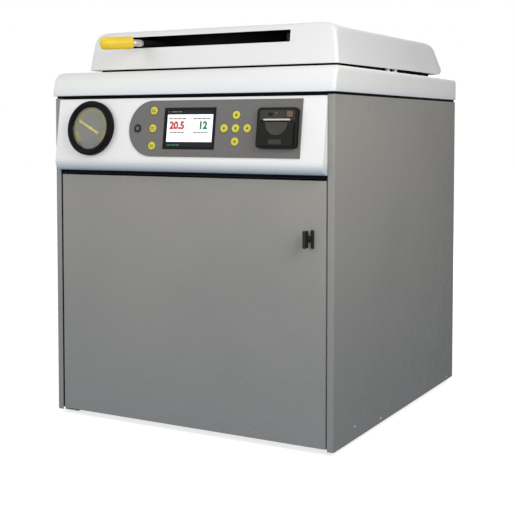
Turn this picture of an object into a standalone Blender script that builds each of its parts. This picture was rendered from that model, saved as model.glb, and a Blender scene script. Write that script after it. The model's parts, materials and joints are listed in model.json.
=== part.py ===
"""Benchtop autoclave with a top-opening pressure lid, built as separate parts.

Metres, +Z up, front faces -Y. The origin is at the centre of the footprint, on the bench.
"""
import math

import bmesh
import bpy
from mathutils import Matrix, Vector

# ---------------------------------------------------------------- driving dimensions
FIT = 0.0003            # gap between two touching pieces
SHEET = 0.002           # sheet metal thickness
SHELL = 0.003           # moulded cover thickness

BASE = 0.008            # height of the feet
HALF_W = 0.330          # half the cabinet's width
HALF_D = 0.353          # half the cabinet's depth
CABINET_TOP = BASE + 0.680
PANEL_TOP = CABINET_TOP - 0.005      # the hood stands clear of the side panels
FLANGE_X = 0.316        # inner edge of the side panels' front and rear flanges
HOOD_HEIGHT = 0.050
HOOD_HALF_W = 0.333
HOOD_FRONT = 0.361
HOOD_TOP = CABINET_TOP + HOOD_HEIGHT

DOOR_HALF_W = 0.314
DOOR_BOTTOM = BASE + 0.004
DOOR_TOP = BASE + 0.513
DOOR_DEPTH = 0.012
DOOR_BACK = -HALF_D + DOOR_DEPTH
ROD_X = -0.307          # door hinge rod
ROD_Y = -0.3465
ROD_R = 0.003
LATCH_X = 0.276
LATCH_Z = BASE + 0.4025

FASCIA_BOTTOM = BASE + 0.523
FASCIA_TOP = CABINET_TOP - 0.007
FASCIA_SLOPE = math.radians(8.0)
ROLL_R = 0.018          # rolled lower edge of the fascia
FASCIA_FRONT = 0.373
FASCIA_BACK = -0.3455
FACE_Z = BASE + 0.611   # height of the controls' centre line
BACKING_Y = -0.343      # rear face of the dark sheet behind the fascia

CENTRE_Y = 0.017        # the vessel's axis is a little behind the cabinet's centre
CHAMBER_R = 0.190
VESSEL_R = CHAMBER_R + 0.004
COLLAR_R = 0.199
LUG_R = 0.2105
LUG_ARC = math.radians(50.0)
VESSEL_TOP = BASE + 0.757
DISH_TOP = BASE + 0.300
DISH_DEPTH = 0.060
SKIRT_R = 0.154
RING_INNER = LUG_R + 0.003
RING_OUTER = 0.2225
RING_BOTTOM = BASE + 0.733
RING_TOP = BASE + 0.773
LID_RIM = VESSEL_TOP + 0.001
LID_RIM_TOP = RING_TOP - 0.0055
DOME_R = 0.185
DOME_RISE = 0.0115

COVER_BOTTOM = BASE + 0.741
COVER_TOP = BASE + 0.820
COVER_HALF_W = 0.300
COVER_FRONT = -0.2735
COVER_REAR = 0.3445
COVER_HEM_DROP = 0.003  # the front of the hem is lower than the rear
NOTCH_FRONT = 0.270     # the notch round the hinge arm
NOTCH_TOP = BASE + 0.7875
COVER_LEAN = math.radians(8.0)
COVER_CORNER_R = 0.025
SLOT_HALF_W = 0.193
SLOT_BOTTOM = BASE + 0.783
SLOT_TOP = BASE + 0.807

LEVER_Z = BASE + 0.792
LEVER_REST = math.radians(27.5)     # the lever's angle left of the front at rest
LEVER_R = 0.007
LEVER_NECK_END = 0.357
GRIP_LENGTH = 0.074
GRIP_R = 0.0135
GRIP_DROOP = math.radians(3.4)      # below the horizontal
SHUTTER_R = 0.262
SHUTTER_ARC = math.radians(125.0)

HINGE_Y = 0.335
HINGE_Z = BASE + 0.744
HINGE_R = 0.010
HINGE_PIN_R = 0.006
HINGE_ARM_HALF = 0.090

GAUGE_X = -0.223
GAUGE_R = 0.057
DIAL_R = 0.0442
NEEDLE_TILT = math.radians(28.0)    # above the horizontal, pointing left
KEY_R = 0.0085
KEY_HALF_PITCH = 0.0260
OVERLAY_LEFT = -0.127
OVERLAY_RIGHT = 0.267
OVERLAY_HALF_H = 0.057
OVERLAY_T = 0.0015
DISPLAY = (-0.042, 0.079, 0.042)    # left, right, half height
PRINTER = (0.1755, 0.2615, 0.039)   # left, right, half height

REAR_PANEL_Y = HALF_D - SHEET - FIT - SHEET
REAR_REACH = 0.3851     # the rear fittings stand out as far as the gauge does in front

COLOURS = {
    "grey_paint": ((0.29, 0.28, 0.26), 0.45, 0.0),
    "white_shell": ((0.82, 0.82, 0.81), 0.35, 0.0),
    "dark_sheet": ((0.010, 0.014, 0.022), 0.5, 0.0),
    "overlay_grey": ((0.135, 0.130, 0.125), 0.5, 0.0),
    "black_plastic": ((0.012, 0.012, 0.012), 0.4, 0.0),
    "printer_grey": ((0.045, 0.046, 0.038), 0.5, 0.0),
    "screen": ((0.85, 0.86, 0.87), 0.2, 0.0),
    "key_yellow": ((0.62, 0.56, 0.05), 0.4, 0.0),
    "grip_yellow": ((0.90, 0.66, 0.04), 0.4, 0.0),
    "steel": ((0.60, 0.60, 0.60), 0.3, 1.0),
    "frame_steel": ((0.35, 0.36, 0.38), 0.45, 0.8),
    "dial_grey": ((0.20, 0.20, 0.18), 0.5, 0.0),
    "glass": ((0.90, 0.92, 0.92), 0.05, 0.0),
    "paper": ((0.85, 0.82, 0.72), 0.8, 0.0),
    "circuit_green": ((0.03, 0.16, 0.07), 0.5, 0.0),
    "insulation": ((0.62, 0.60, 0.54), 0.9, 0.0),
    "rubber": ((0.03, 0.03, 0.03), 0.8, 0.0),
    "silicone": ((0.55, 0.20, 0.14), 0.6, 0.0),
    "brass": ((0.62, 0.46, 0.16), 0.35, 1.0),
    "red_plastic": ((0.45, 0.05, 0.03), 0.45, 0.0),
}


# ---------------------------------------------------------------- helpers
def clear_scene():
    for obj in list(bpy.data.objects):
        bpy.data.objects.remove(obj, do_unlink=True)


def make_collection(name):
    collection = bpy.data.collections.new(name)
    bpy.context.scene.collection.children.link(collection)
    return collection


def make_material(name, finish):
    colour, roughness, metallic = COLOURS[finish]
    material = bpy.data.materials.new(name + "_material")
    material.use_nodes = True
    shader = material.node_tree.nodes["Principled BSDF"]
    shader.inputs["Base Color"].default_value = (*colour, 1.0)
    shader.inputs["Roughness"].default_value = roughness
    shader.inputs["Metallic"].default_value = metallic
    return material


def shade(mesh):
    mesh.shade_smooth()
    mesh.set_sharp_from_angle(angle=math.radians(35.0))


def add_object(name, mesh, parent=None, location=(0, 0, 0), rotation=(0, 0, 0)):
    obj = bpy.data.objects.new(name, mesh)
    obj.location = location
    obj.rotation_euler = rotation
    obj.parent = parent
    return obj


def as_part(obj, finish):
    """Put an object among the parts, with a material of its own."""
    PARTS.objects.link(obj)
    obj.data.materials.append(make_material(obj.name, finish))
    return obj


def as_cutter(obj):
    """Put an object among the cutters, which aren't part of the model."""
    CUTTERS.objects.link(obj)
    obj.hide_render = True
    obj.display_type = "WIRE"
    return obj


def add_empty(name, location, rotation=(0, 0, 0), parent=None):
    empty = bpy.data.objects.new(name, None)
    empty.location = location
    empty.rotation_euler = rotation
    empty.parent = parent
    PARTS.objects.link(empty)
    return empty


def mesh_of(name, bm):
    mesh = bpy.data.meshes.new(name)
    bm.to_mesh(mesh)
    bm.free()
    shade(mesh)
    return mesh


def box(name, low, high, round_edges=None, radius=0.0, segments=3, **place):
    """A box between two corners; round_edges picks the edges to round, from their two ends."""
    bm = bmesh.new()
    bmesh.ops.create_cube(bm, size=1.0)
    size = Vector(high) - Vector(low)
    middle = (Vector(high) + Vector(low)) / 2
    bmesh.ops.scale(bm, vec=size, verts=bm.verts)
    bmesh.ops.translate(bm, vec=middle, verts=bm.verts)
    if round_edges:
        edges = [e for e in bm.edges if round_edges(e.verts[0].co - middle, e.verts[1].co - middle)]
        bmesh.ops.bevel(bm, geom=edges, offset=radius, segments=segments, profile=0.5, affect="EDGES")
    return add_object(name, mesh_of(name, bm), **place)


def rod(name, start, end, radius, segments=24, end_radius=None, **place):
    """A round bar from start to end."""
    start = Vector(start)
    axis = Vector(end) - start
    bm = bmesh.new()
    bmesh.ops.create_cone(bm, cap_ends=True, segments=segments, radius1=radius,
                          radius2=radius if end_radius is None else end_radius, depth=axis.length)
    turn = axis.to_track_quat("Z", "Y").to_matrix().to_4x4()
    bmesh.ops.transform(bm, matrix=Matrix.Translation(start + axis / 2) @ turn, verts=bm.verts)
    return add_object(name, mesh_of(name, bm), **place)


def turned(name, profile, segments=48, closed=True, **place):
    """A closed outline of (radius, height) points, turned about local Z by a Screw modifier."""
    mesh = bpy.data.meshes.new(name)
    points = [(r, 0.0, z) for r, z in profile]
    edges = [(i, i + 1) for i in range(len(points) - 1)]
    if closed:
        edges.append((len(points) - 1, 0))
    mesh.from_pydata(points, edges, [])
    obj = add_object(name, mesh, **place)
    screw = obj.modifiers.new("turn", "SCREW")
    screw.steps = segments
    screw.render_steps = segments
    screw.use_smooth_shade = True
    screw.use_merge_vertices = True
    screw.merge_threshold = 0.00001
    return obj


def plate(name, outline, thickness, **place):
    """A flat plate with the outline in local X and Y, centred on local Z = 0."""
    curve = bpy.data.curves.new(name + "_outline", "CURVE")
    curve.dimensions = "2D"
    curve.fill_mode = "BOTH"
    curve.extrude = thickness / 2
    spline = curve.splines.new("POLY")
    spline.points.add(len(outline) - 1)
    for point, (x, y) in zip(spline.points, outline):
        point.co = (x, y, 0.0, 1.0)
    spline.use_cyclic_u = True
    return from_curve(name, curve, **place)


def tube(name, path, radius, resolution=2, **place):
    """A round bar along a list of points."""
    curve = bpy.data.curves.new(name + "_path", "CURVE")
    curve.dimensions = "3D"
    curve.bevel_depth = radius
    curve.bevel_resolution = resolution
    curve.use_fill_caps = True
    spline = curve.splines.new("POLY")
    spline.points.add(len(path) - 1)
    for point, place_at in zip(spline.points, path):
        point.co = (*place_at, 1.0)
    return from_curve(name, curve, **place)


def from_curve(name, curve, **place):
    """Turn a curve into a welded mesh object."""
    guide = bpy.data.objects.new(name + "_guide", curve)
    bpy.context.scene.collection.objects.link(guide)
    evaluated = guide.evaluated_get(bpy.context.evaluated_depsgraph_get())
    mesh = bpy.data.meshes.new_from_object(evaluated)
    mesh.name = name
    bpy.data.objects.remove(guide, do_unlink=True)
    bm = bmesh.new()
    bm.from_mesh(mesh)
    bmesh.ops.remove_doubles(bm, verts=bm.verts, dist=0.00001)
    bmesh.ops.recalc_face_normals(bm, faces=bm.faces)
    bm.to_mesh(mesh)
    bm.free()
    shade(mesh)
    return add_object(name, mesh, **place)


def combine(obj, operation, others):
    """Cut the others from an object, join them to it, or keep what they share."""
    for other in others:
        as_cutter(other)
        modifier = obj.modifiers.new(other.name, "BOOLEAN")
        modifier.operation = operation
        modifier.solver = "EXACT"
        modifier.object = other
    return obj


def cut(obj, *others):
    return combine(obj, "DIFFERENCE", others)


def join(obj, *others):
    return combine(obj, "UNION", others)


def arc(centre, radius, start, end, steps):
    """Points along an arc, angles in radians."""
    turn = (end - start) / steps
    return [(centre[0] + radius * math.cos(start + turn * i),
             centre[1] + radius * math.sin(start + turn * i)) for i in range(steps + 1)]


def bezier(start, control, end, steps):
    """Points along a quadratic curve."""
    points = []
    for i in range(steps + 1):
        t = i / steps
        a, b, c = (1 - t) ** 2, 2 * t * (1 - t), t * t
        points.append((a * start[0] + b * control[0] + c * end[0],
                       a * start[1] + b * control[1] + c * end[1]))
    return points


def is_upright(a, b):
    return abs(a.z - b.z) > 1e-6


# ---------------------------------------------------------------- cabinet
def build_side_panel(name, side):
    """A folded panel, with a flange to the front and one to the rear."""
    bend = 0.003
    x = HALF_W
    corner_front = arc((x - bend, -HALF_D + bend), bend, -math.pi / 2, 0.0, 3)
    corner_rear = arc((x - bend, HALF_D - bend), bend, 0.0, math.pi / 2, 3)
    outline = [(FLANGE_X, -HALF_D)] + corner_front + corner_rear + [(FLANGE_X, HALF_D)]
    bm = bmesh.new()
    verts = [bm.verts.new((side * px, py, BASE)) for px, py in outline]
    edges = [bm.edges.new(pair) for pair in zip(verts, verts[1:])]
    walls = bmesh.ops.extrude_edge_only(bm, edges=edges)
    raised = [v for v in walls["geom"] if isinstance(v, bmesh.types.BMVert)]
    bmesh.ops.translate(bm, vec=(0, 0, PANEL_TOP - BASE), verts=raised)
    bmesh.ops.recalc_face_normals(bm, faces=bm.faces)
    outer = max(bm.faces, key=lambda f: f.calc_area())
    if outer.normal.x * side < 0:
        bmesh.ops.reverse_faces(bm, faces=bm.faces)
    obj = add_object(name, mesh_of(name, bm))
    shell = obj.modifiers.new("sheet", "SOLIDIFY")
    shell.thickness = SHEET
    shell.offset = -1.0
    as_part(obj, "grey_paint")


def build_base_tray():
    x = HALF_W - SHEET - FIT
    front = DOOR_BACK + 0.0045      # clear of the swinging door
    rear = REAR_PANEL_Y - FIT
    tray = box("base_tray", (-x, front, BASE), (x, rear, BASE + 0.020))
    inside = box("tray_inside", (-x + SHEET, front + SHEET, BASE + SHEET),
                 (x - SHEET, rear - SHEET, BASE + 0.1))
    tab = box("tray_tab", (ROD_X - 0.006, -HALF_D + 0.002, BASE),
              (ROD_X + 0.030, front + SHEET, BASE + SHEET))
    hole = rod("tray_rod_hole", (ROD_X, ROD_Y, BASE - 0.01), (ROD_X, ROD_Y, BASE + 0.01), ROD_R + FIT, 16)
    cut(tray, inside)
    join(tray, tab)
    cut(tray, hole)
    as_part(tray, "frame_steel")


def build_feet():
    for name, sx, sy in (("foot_front_left", -1, -1), ("foot_front_right", 1, -1),
                         ("foot_rear_left", -1, 1), ("foot_rear_right", 1, 1)):
        place = (sx * (HALF_W - 0.075), sy * (HALF_D - 0.075), 0.0)
        profile = [(0.0, BASE - FIT), (0.022, BASE - FIT), (0.020, 0.001), (0.019, 0.0), (0.0, 0.0)]
        as_part(turned(name, profile, 20, closed=False, location=place), "rubber")


def build_rear_panel():
    x = HALF_W - SHEET - 0.0015
    panel = box("rear_panel", (-x, REAR_PANEL_Y, BASE + SHEET), (x, REAR_PANEL_Y + SHEET, CABINET_TOP - FIT))
    slots = []
    for i in range(7):
        z = FAN_Z + (i - 3) * 0.012
        half = math.sqrt(0.045 ** 2 - (z - FAN_Z) ** 2)
        slots.append(box("vent_%d" % i, (FAN_X - half, REAR_PANEL_Y - 0.01, z - 0.003),
                         (FAN_X + half, HALF_D + 0.01, z + 0.003)))
    inlet_hole = box("inlet_hole", (INLET_X - 0.0143, REAR_PANEL_Y - 0.01, INLET_Z - 0.0103),
                     (INLET_X + 0.0143, HALF_D + 0.01, INLET_Z + 0.0103))
    outlet_hole = rod("outlet_hole", (OUTLET_X, REAR_PANEL_Y - 0.01, OUTLET_Z),
                      (OUTLET_X, HALF_D + 0.01, OUTLET_Z), 0.0103, 20)
    cut(panel, inlet_hole, outlet_hole, *slots)
    as_part(panel, "grey_paint")


def build_chassis_frame():
    """A welded frame of twelve square bars, inside the panels."""
    low = Vector((-0.325, -0.322, BASE + SHEET + FIT))
    high = Vector((0.325, REAR_PANEL_Y - 0.0028, CABINET_TOP - 0.0035))
    bar = 0.022
    frame = box("chassis_frame", low, high)
    for axis, letter in enumerate("xyz"):
        near, far = low + Vector((bar,) * 3), high - Vector((bar,) * 3)
        near[axis] = low[axis] - 0.01
        far[axis] = high[axis] + 0.01
        cut(frame, box("frame_window_" + letter, near, far))
    as_part(frame, "frame_steel")


def build_fascia_backing():
    x = FLANGE_X - 0.0005
    y = BACKING_Y - SHEET
    bottom = DOOR_TOP + 0.003
    backing = box("fascia_backing", (-x, y, bottom), (x, BACKING_Y, CABINET_TOP - 0.001))
    shelf = box("backing_shelf", (-x, -HALF_D + 0.0015, bottom), (x, y + 0.001, bottom + SHEET))
    gauge_hole = rod("backing_gauge_hole", (GAUGE_X, y - 0.01, FACE_Z), (GAUGE_X, y + 0.01, FACE_Z), 0.056)
    printer_hole = box("backing_printer_hole", (PRINTER[0] - 0.002, y - 0.01, FACE_Z - 0.046),
                       (PRINTER[1] + 0.002, y + 0.01, FACE_Z + 0.044))
    rod_hole = rod("backing_rod_hole", (ROD_X, ROD_Y, bottom - 0.01), (ROD_X, ROD_Y, bottom + 0.01),
                   ROD_R + FIT, 16)
    join(backing, shelf)
    cut(backing, gauge_hole, printer_hole, rod_hole)
    as_part(backing, "dark_sheet")


def build_hood():
    """A cover with a leaning front, rounded upper edges and a round mouth for the vessel."""
    def shell(name, inset, bottom, top):
        bm = bmesh.new()
        bmesh.ops.create_cube(bm, size=1.0)
        for vert in bm.verts:
            upper = vert.co.z > 0
            y = HALF_D - 0.0005 - inset
            if vert.co.y < 0:
                y = -HOOD_FRONT + inset + (0.012 if upper else 0.0)
            vert.co = (math.copysign(HOOD_HALF_W - inset, vert.co.x), y, top if upper else bottom)
        corners = [e for e in bm.edges if is_upright(*[v.co for v in e.verts])]
        top_rim = [e for e in bm.edges if all(abs(v.co.z - top) < 1e-6 for v in e.verts)]
        bmesh.ops.bevel(bm, geom=corners + top_rim, offset=0.012 - inset, segments=3, profile=0.5,
                        affect="EDGES")
        return add_object(name, mesh_of(name, bm))

    hood = shell("hood", 0.0, CABINET_TOP, HOOD_TOP)
    inside = shell("hood_inside", SHELL, CABINET_TOP - 0.01, HOOD_TOP - SHELL)
    mouth = rod("hood_mouth", (0, CENTRE_Y, HOOD_TOP - 0.02), (0, CENTRE_Y, HOOD_TOP + 0.02),
                COLLAR_R + 0.003, 40)
    cut(hood, inside, mouth)
    as_part(hood, "white_shell")


def build_fascia():
    """A moulding with a sloping face, whose lower edge rolls under."""
    def profile(inset):
        roll = (-FASCIA_FRONT + ROLL_R, FASCIA_BOTTOM + ROLL_R)
        under = arc(roll, ROLL_R - inset, math.pi - FASCIA_SLOPE, 1.5 * math.pi, 7)
        top = FASCIA_TOP - inset
        face_y = under[0][0] + (top - under[0][1]) * math.tan(FASCIA_SLOPE)
        back = FASCIA_BACK + (0.02 if inset else 0.0)
        return [(back, top), (face_y, top)] + under + [(back, under[-1][1])]

    def prism(name, inset):
        half = FLANGE_X - 0.0008 - inset
        obj = plate(name, profile(inset), 2 * half)
        turn = Matrix(((0, 0, 1, 0), (1, 0, 0, 0), (0, 1, 0, 0), (0, 0, 0, 1)))
        obj.data.transform(turn)
        return obj

    fascia = prism("fascia_panel", 0.0)
    gauge_hole = rod("fascia_gauge_hole", (GAUGE_X, -0.03, 0), (GAUGE_X, 0.03, 0), 0.0515, 32, parent=FACE)
    control_hole = box("fascia_control_hole", (-0.080, -0.02, -0.050), (0.162, 0.02, 0.050), parent=FACE)
    power_hole = rod("fascia_power_hole", (POWER_KEY_X, -0.02, 0), (POWER_KEY_X, 0.02, 0), 0.0042, 12,
                     parent=FACE)
    printer_hole = box("fascia_printer_hole", (PRINTER[0] + 0.0035, -0.03, -PRINTER[2] + 0.0035),
                       (PRINTER[1] - 0.0035, 0.03, PRINTER[2] - 0.0035), parent=FACE)
    cut(fascia, prism("fascia_inside", SHELL), gauge_hole, control_hole, power_hole, printer_hole)
    as_part(fascia, "white_shell")


# ---------------------------------------------------------------- controls on the fascia's face
# Local axes of the face: X to the right, Z up the slope, -Y out of it.
def build_overlay():
    middle = OVERLAY_LEFT + OVERLAY_HALF_H
    outline = arc((middle, 0.0), OVERLAY_HALF_H, math.pi / 2, 1.5 * math.pi, 16)
    outline += [(OVERLAY_RIGHT, -OVERLAY_HALF_H), (OVERLAY_RIGHT, OVERLAY_HALF_H)]
    overlay = plate("control_overlay", outline, OVERLAY_T)
    overlay.data.transform(Matrix.Rotation(math.pi / 2, 4, "X"))
    overlay.data.transform(Matrix.Translation((0, -FIT - OVERLAY_T / 2, 0)))
    overlay.parent = FACE
    left, right, half = DISPLAY
    cuts = [box("overlay_display_hole", (left, -0.02, -half), (right, 0.02, half), parent=FACE)]
    left, right, half = PRINTER
    cuts.append(box("overlay_printer_hole", (left - FIT, -0.02, -half - FIT),
                    (right + FIT, 0.02, half + FIT), parent=FACE))
    for name, x, z in KEYS:
        cuts.append(rod("hole_" + name, (x, -0.02, z), (x, 0.02, z), KEY_R + 0.0004, 14, parent=FACE))
    cut(overlay, *cuts)
    as_part(overlay, "overlay_grey")


def build_display():
    left, right, half = (DISPLAY[0] + FIT, DISPLAY[1] - FIT, DISPLAY[2] - FIT)
    border = 0.0045
    bezel = box("display_bezel", (left, -0.0030, -half), (right, 0.004, half), parent=FACE)
    window = box("display_window", (left + border, -0.02, -half + border),
                 (right - border, 0.02, half - border),
                 parent=FACE)
    cut(bezel, window)
    as_part(bezel, "black_plastic")
    border += FIT
    screen = box("display_screen", (left + border, -0.0018, -half + border),
                 (right - border, 0.003, half - border),
                 parent=FACE)
    as_part(screen, "screen")


def build_keys():
    """Round keys with a stem that reaches the controller board."""
    head_back, head_front, stem_end = 0.0014, 0.0032, -0.0076
    profile = [(0.0, head_front), (KEY_R - 0.001, head_front), (KEY_R, head_front - 0.0008),
               (KEY_R, head_back),
               (0.003, head_back), (0.003, stem_end), (0.0, stem_end)]
    for name, x, z in KEYS:
        key = turned(name, profile, 14, closed=False, parent=FACE, location=(x, 0, z),
                     rotation=(math.pi / 2, 0, 0))
        as_part(key, "black_plastic" if name == "key_power" else "key_yellow")


def build_controller_board():
    board = box("controller_board", (-0.115, 0.0089, -0.045), (0.160, 0.0105, 0.045), parent=FACE)
    as_part(board, "circuit_green")


def build_gauge():
    place = {"parent": FACE, "location": (GAUGE_X, 0, 0), "rotation": (math.pi / 2, 0, 0)}
    well = DIAL_R + FIT
    case = [(0.0, 0.004), (well, 0.004), (well, 0.0118), (well + 0.0025, 0.0140), (GAUGE_R - 0.004, 0.0145),
            (GAUGE_R, 0.0110), (GAUGE_R, FIT), (0.050, FIT), (0.050, -0.026), (0.0, -0.026)]
    as_part(turned("gauge_case", case, 40, closed=False, **place), "black_plastic")
    dial = [(0.0, 0.0053), (DIAL_R, 0.0053), (DIAL_R, 0.0043), (0.0, 0.0043)]
    as_part(turned("gauge_dial", dial, 32, closed=False, **place), "dial_grey")
    glass = [(0.0, 0.0113), (DIAL_R - 0.001, 0.0108), (DIAL_R, 0.0103), (DIAL_R, 0.0093), (0.0, 0.0093)]
    as_part(turned("gauge_glass", glass, 32, closed=False, **place), "glass")
    outline = [(-0.035, 0.0), (-0.030, 0.0016), (0.0, 0.0018), (0.023, 0.0022), (0.023, -0.0022),
               (0.0, -0.0018),
               (-0.030, -0.0016)]
    needle = plate("gauge_needle", outline, 0.0010)
    needle.data.transform(Matrix.Translation((0, 0, 0.0069)) @ Matrix.Rotation(-NEEDLE_TILT, 4, "Z"))
    needle.parent = FACE
    needle.location = place["location"]
    needle.rotation_euler = place["rotation"]
    hub = rod("needle_hub", (0, 0, 0.0058), (0, 0, 0.0082), 0.004, 20, **place)
    join(needle, hub)
    as_part(needle, "key_yellow")


def build_printer():
    left, right, half = PRINTER
    front = -0.0100
    body = box("printer_body", (left, front, -half), (right, -FIT, half),
               lambda a, b: abs(a.y - b.y) > 1e-6, 0.006, 3, parent=FACE)
    can = box("printer_can", (left + 0.0045, -0.001, -half + 0.0045), (right - 0.0045, 0.072, half - 0.0045),
              parent=FACE)
    bay = box("printer_bay", (left + 0.0105, front - 0.01, -0.0315), (right - 0.0105, 0.060, 0.0115),
              parent=FACE)
    recess = box("button_recess", (BUTTON_X - 0.0064, front - 0.01, 0.0196),
                 (BUTTON_X + 0.0064, -0.0078, 0.0324),
                 parent=FACE)
    join(body, can)
    cut(body, bay, recess)
    as_part(body, "printer_grey")

    hinge = add_empty("printer_door_axis", (0, -0.0118, PRINTER_DOOR_BOTTOM), parent=FACE)
    door = box("printer_door", (left + 0.0055, -0.0015, 0.0), (right - 0.0055, 0.0015, 0.0475), parent=hinge)
    notch = rod("finger_notch", ((left + right) / 2, -0.01, 0.044), ((left + right) / 2, -0.0003, 0.044),
                0.022, 24,
                parent=hinge)
    cut(door, notch)
    as_part(door, "printer_grey")

    roll = [(0.006, 0.0285), (0.020, 0.0285), (0.020, -0.0285), (0.006, -0.0285)]
    as_part(turned("printer_paper_roll", roll, 20, parent=FACE, location=((left + right) / 2, 0.030, -0.0095),
                   rotation=(0, math.pi / 2, 0)), "paper")
    button = box("printer_feed_button", (BUTTON_X - 0.006, -0.0122, 0.020),
                 (BUTTON_X + 0.006, -0.0090, 0.032),
                 parent=FACE)
    as_part(button, "red_plastic")


# ---------------------------------------------------------------- front door and latch
def build_door():
    axis = add_empty("door_axis", (ROD_X, ROD_Y, 0.0))
    skin = 0.0015

    def at(x, y, z):
        return (x - ROD_X, y - ROD_Y, z)

    def front_corner(a, b):
        return is_upright(a, b) and a.y < 0

    door = box("front_door", at(-DOOR_HALF_W, -HALF_D, DOOR_BOTTOM), at(DOOR_HALF_W, DOOR_BACK, DOOR_TOP),
               front_corner, 0.005, 4, parent=axis)
    inside = box("door_inside", at(-DOOR_HALF_W + SHEET, -HALF_D + skin, DOOR_BOTTOM + SHEET),
                 at(DOOR_HALF_W - SHEET, DOOR_BACK + 0.01, DOOR_TOP - SHEET),
                 front_corner, 0.004, 2, parent=axis)
    rod_hole = rod("door_rod_hole", (0, 0, 0), (0, 0, DOOR_TOP + 0.01), ROD_R + FIT, 16, parent=axis)
    stem_hole = rod("door_stem_hole", at(LATCH_X, -HALF_D - 0.01, LATCH_Z),
                    at(LATCH_X, -HALF_D + 0.01, LATCH_Z),
                    0.0063, 20, parent=axis)
    cut(door, inside, rod_hole, stem_hole)
    as_part(door, "grey_paint")
    hinge_rod = rod("door_hinge_rod", (ROD_X, ROD_Y, BASE + 0.0005), (ROD_X, ROD_Y, DOOR_TOP + 0.0065),
                    ROD_R, 20)
    as_part(hinge_rod, "steel")


def build_latch():
    """A wing knob on a stem through the door, with a cam behind the door."""
    axis = add_empty("latch_axis", (LATCH_X, 0.0, LATCH_Z))
    face = -HALF_D
    plate_part = box("latch_escutcheon", (0.0095, face - 0.0035, -0.017), (0.0180, face - FIT, 0.017),
                     lambda a, b: abs(a.y - b.y) > 1e-6, 0.002, 2, parent=axis)
    as_part(plate_part, "black_plastic")
    knob = rod("latch_knob", (0, DOOR_BACK + 0.0010, 0), (0, face - 0.010, 0), 0.006, 20, parent=axis)
    wing = box("latch_wing", (-0.0040, face - 0.025, -0.0165), (0.0040, face - 0.0065, 0.0165),
               lambda a, b: is_upright(a, b), 0.002, 2, parent=axis)
    collar = rod("latch_collar", (0, face - 0.0068, 0), (0, face - FIT, 0), 0.0090, 24, parent=axis)
    join(knob, wing, collar)
    as_part(knob, "black_plastic")
    back = DOOR_BACK + 0.0013
    cam = box("latch_cam", (-0.008, back, -0.010), (0.008, back + 0.003, 0.047), parent=axis)
    as_part(cam, "steel")
    catch_z = 0.014
    striker = box("latch_striker", (HALF_W - SHEET - FIT - 0.0025, DOOR_BACK - 0.0025, LATCH_Z - catch_z),
                  (HALF_W - SHEET - FIT, -0.3225, LATCH_Z + catch_z))
    lip = box("striker_lip", (FLANGE_X + 0.0005, DOOR_BACK - 0.0025, LATCH_Z - catch_z),
              (HALF_W - SHEET - FIT - 0.001, DOOR_BACK, LATCH_Z + catch_z))
    join(striker, lip)
    as_part(striker, "steel")


# ---------------------------------------------------------------- pressure vessel
def dish_height(radius, outer_radius, rim, depth):
    """Height of an elliptical dish at a radius."""
    return rim - depth * math.sqrt(max(0.0, 1 - (radius / outer_radius) ** 2))


def dish(start, end, outer_radius, rim, depth, steps):
    """Points along an elliptical dish between two radii."""
    radii = [start + (end - start) * i / steps for i in range(steps + 1)]
    return [(r, dish_height(r, outer_radius, rim, depth)) for r in radii]


def build_vessel():
    skirt_bottom = BASE + SHEET + FIT
    wall = VESSEL_R - CHAMBER_R
    outside = dish(VESSEL_R, SKIRT_R, VESSEL_R, DISH_TOP, DISH_DEPTH, 2)
    under = dish(SKIRT_R - wall, 0.0, VESSEL_R, DISH_TOP, DISH_DEPTH, 3)
    inside = dish(0.0, CHAMBER_R, CHAMBER_R, DISH_TOP + 0.002, DISH_DEPTH - 0.002, 5)
    profile = [(VESSEL_R, VESSEL_TOP)] + outside + [(SKIRT_R, skirt_bottom), (SKIRT_R - wall, skirt_bottom)]
    profile += under + inside + [(CHAMBER_R, VESSEL_TOP)]
    vessel = turned("pressure_vessel", profile, 48, location=(0, CENTRE_Y, 0))
    window = box("skirt_window", (-0.05, -0.20, 0.06), (0.05, 0.20, 0.15), location=(0, CENTRE_Y, 0))
    holes = [rod("heater_hole_%d" % i, (x, CENTRE_Y + HEATER_R - 0.004, 0.2),
                 (x, CENTRE_Y + HEATER_R - 0.004, 0.32),
                 0.0054, 12) for i, x in enumerate((-0.02, 0.02))]
    cut(vessel, window, *holes)
    as_part(vessel, "steel")


def sector_cutters(name, count, arc_kept, first, inner, outer, bottom, top):
    """Wedges that clear the spaces between evenly spaced lugs."""
    pitch = 2 * math.pi / count
    half = (pitch - arc_kept) / 2
    cutters = []
    for i in range(count):
        middle = first + pitch * (i + 0.5)
        rim = arc((0, 0), outer, middle - half, middle + half, 6)
        back = arc((0, 0), inner, middle + half, middle - half, 6)
        wedge = plate("%s_%d" % (name, i), rim + back, top - bottom,
                      location=(0, CENTRE_Y, (top + bottom) / 2))
        cutters.append(wedge)
    return cutters


def build_neck_ring():
    """The collar round the vessel's mouth, with three lugs that the locking ring turns under."""
    bottom = HOOD_TOP - 0.004
    lug_bottom = VESSEL_TOP - 0.012
    inner = VESSEL_R + FIT
    profile = [(inner, VESSEL_TOP), (LUG_R, VESSEL_TOP), (LUG_R, lug_bottom), (COLLAR_R, lug_bottom),
               (COLLAR_R, bottom), (inner, bottom)]
    ring = turned("vessel_neck_ring", profile, 48, location=(0, CENTRE_Y, 0))
    cut(ring, *sector_cutters("neck_gap", 3, LUG_ARC, NECK_LUG_ANGLE, COLLAR_R - FIT, LUG_R + 0.01,
                              lug_bottom - 0.005, VESSEL_TOP + 0.005))
    as_part(ring, "steel")


def build_jacket():
    profile = [(0.1965, CABINET_TOP - 0.01), (0.232, CABINET_TOP - 0.01), (0.232, DISH_TOP),
               (0.1965, DISH_TOP)]
    as_part(turned("insulation_jacket", profile, 32, location=(0, CENTRE_Y, 0)), "insulation")


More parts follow.
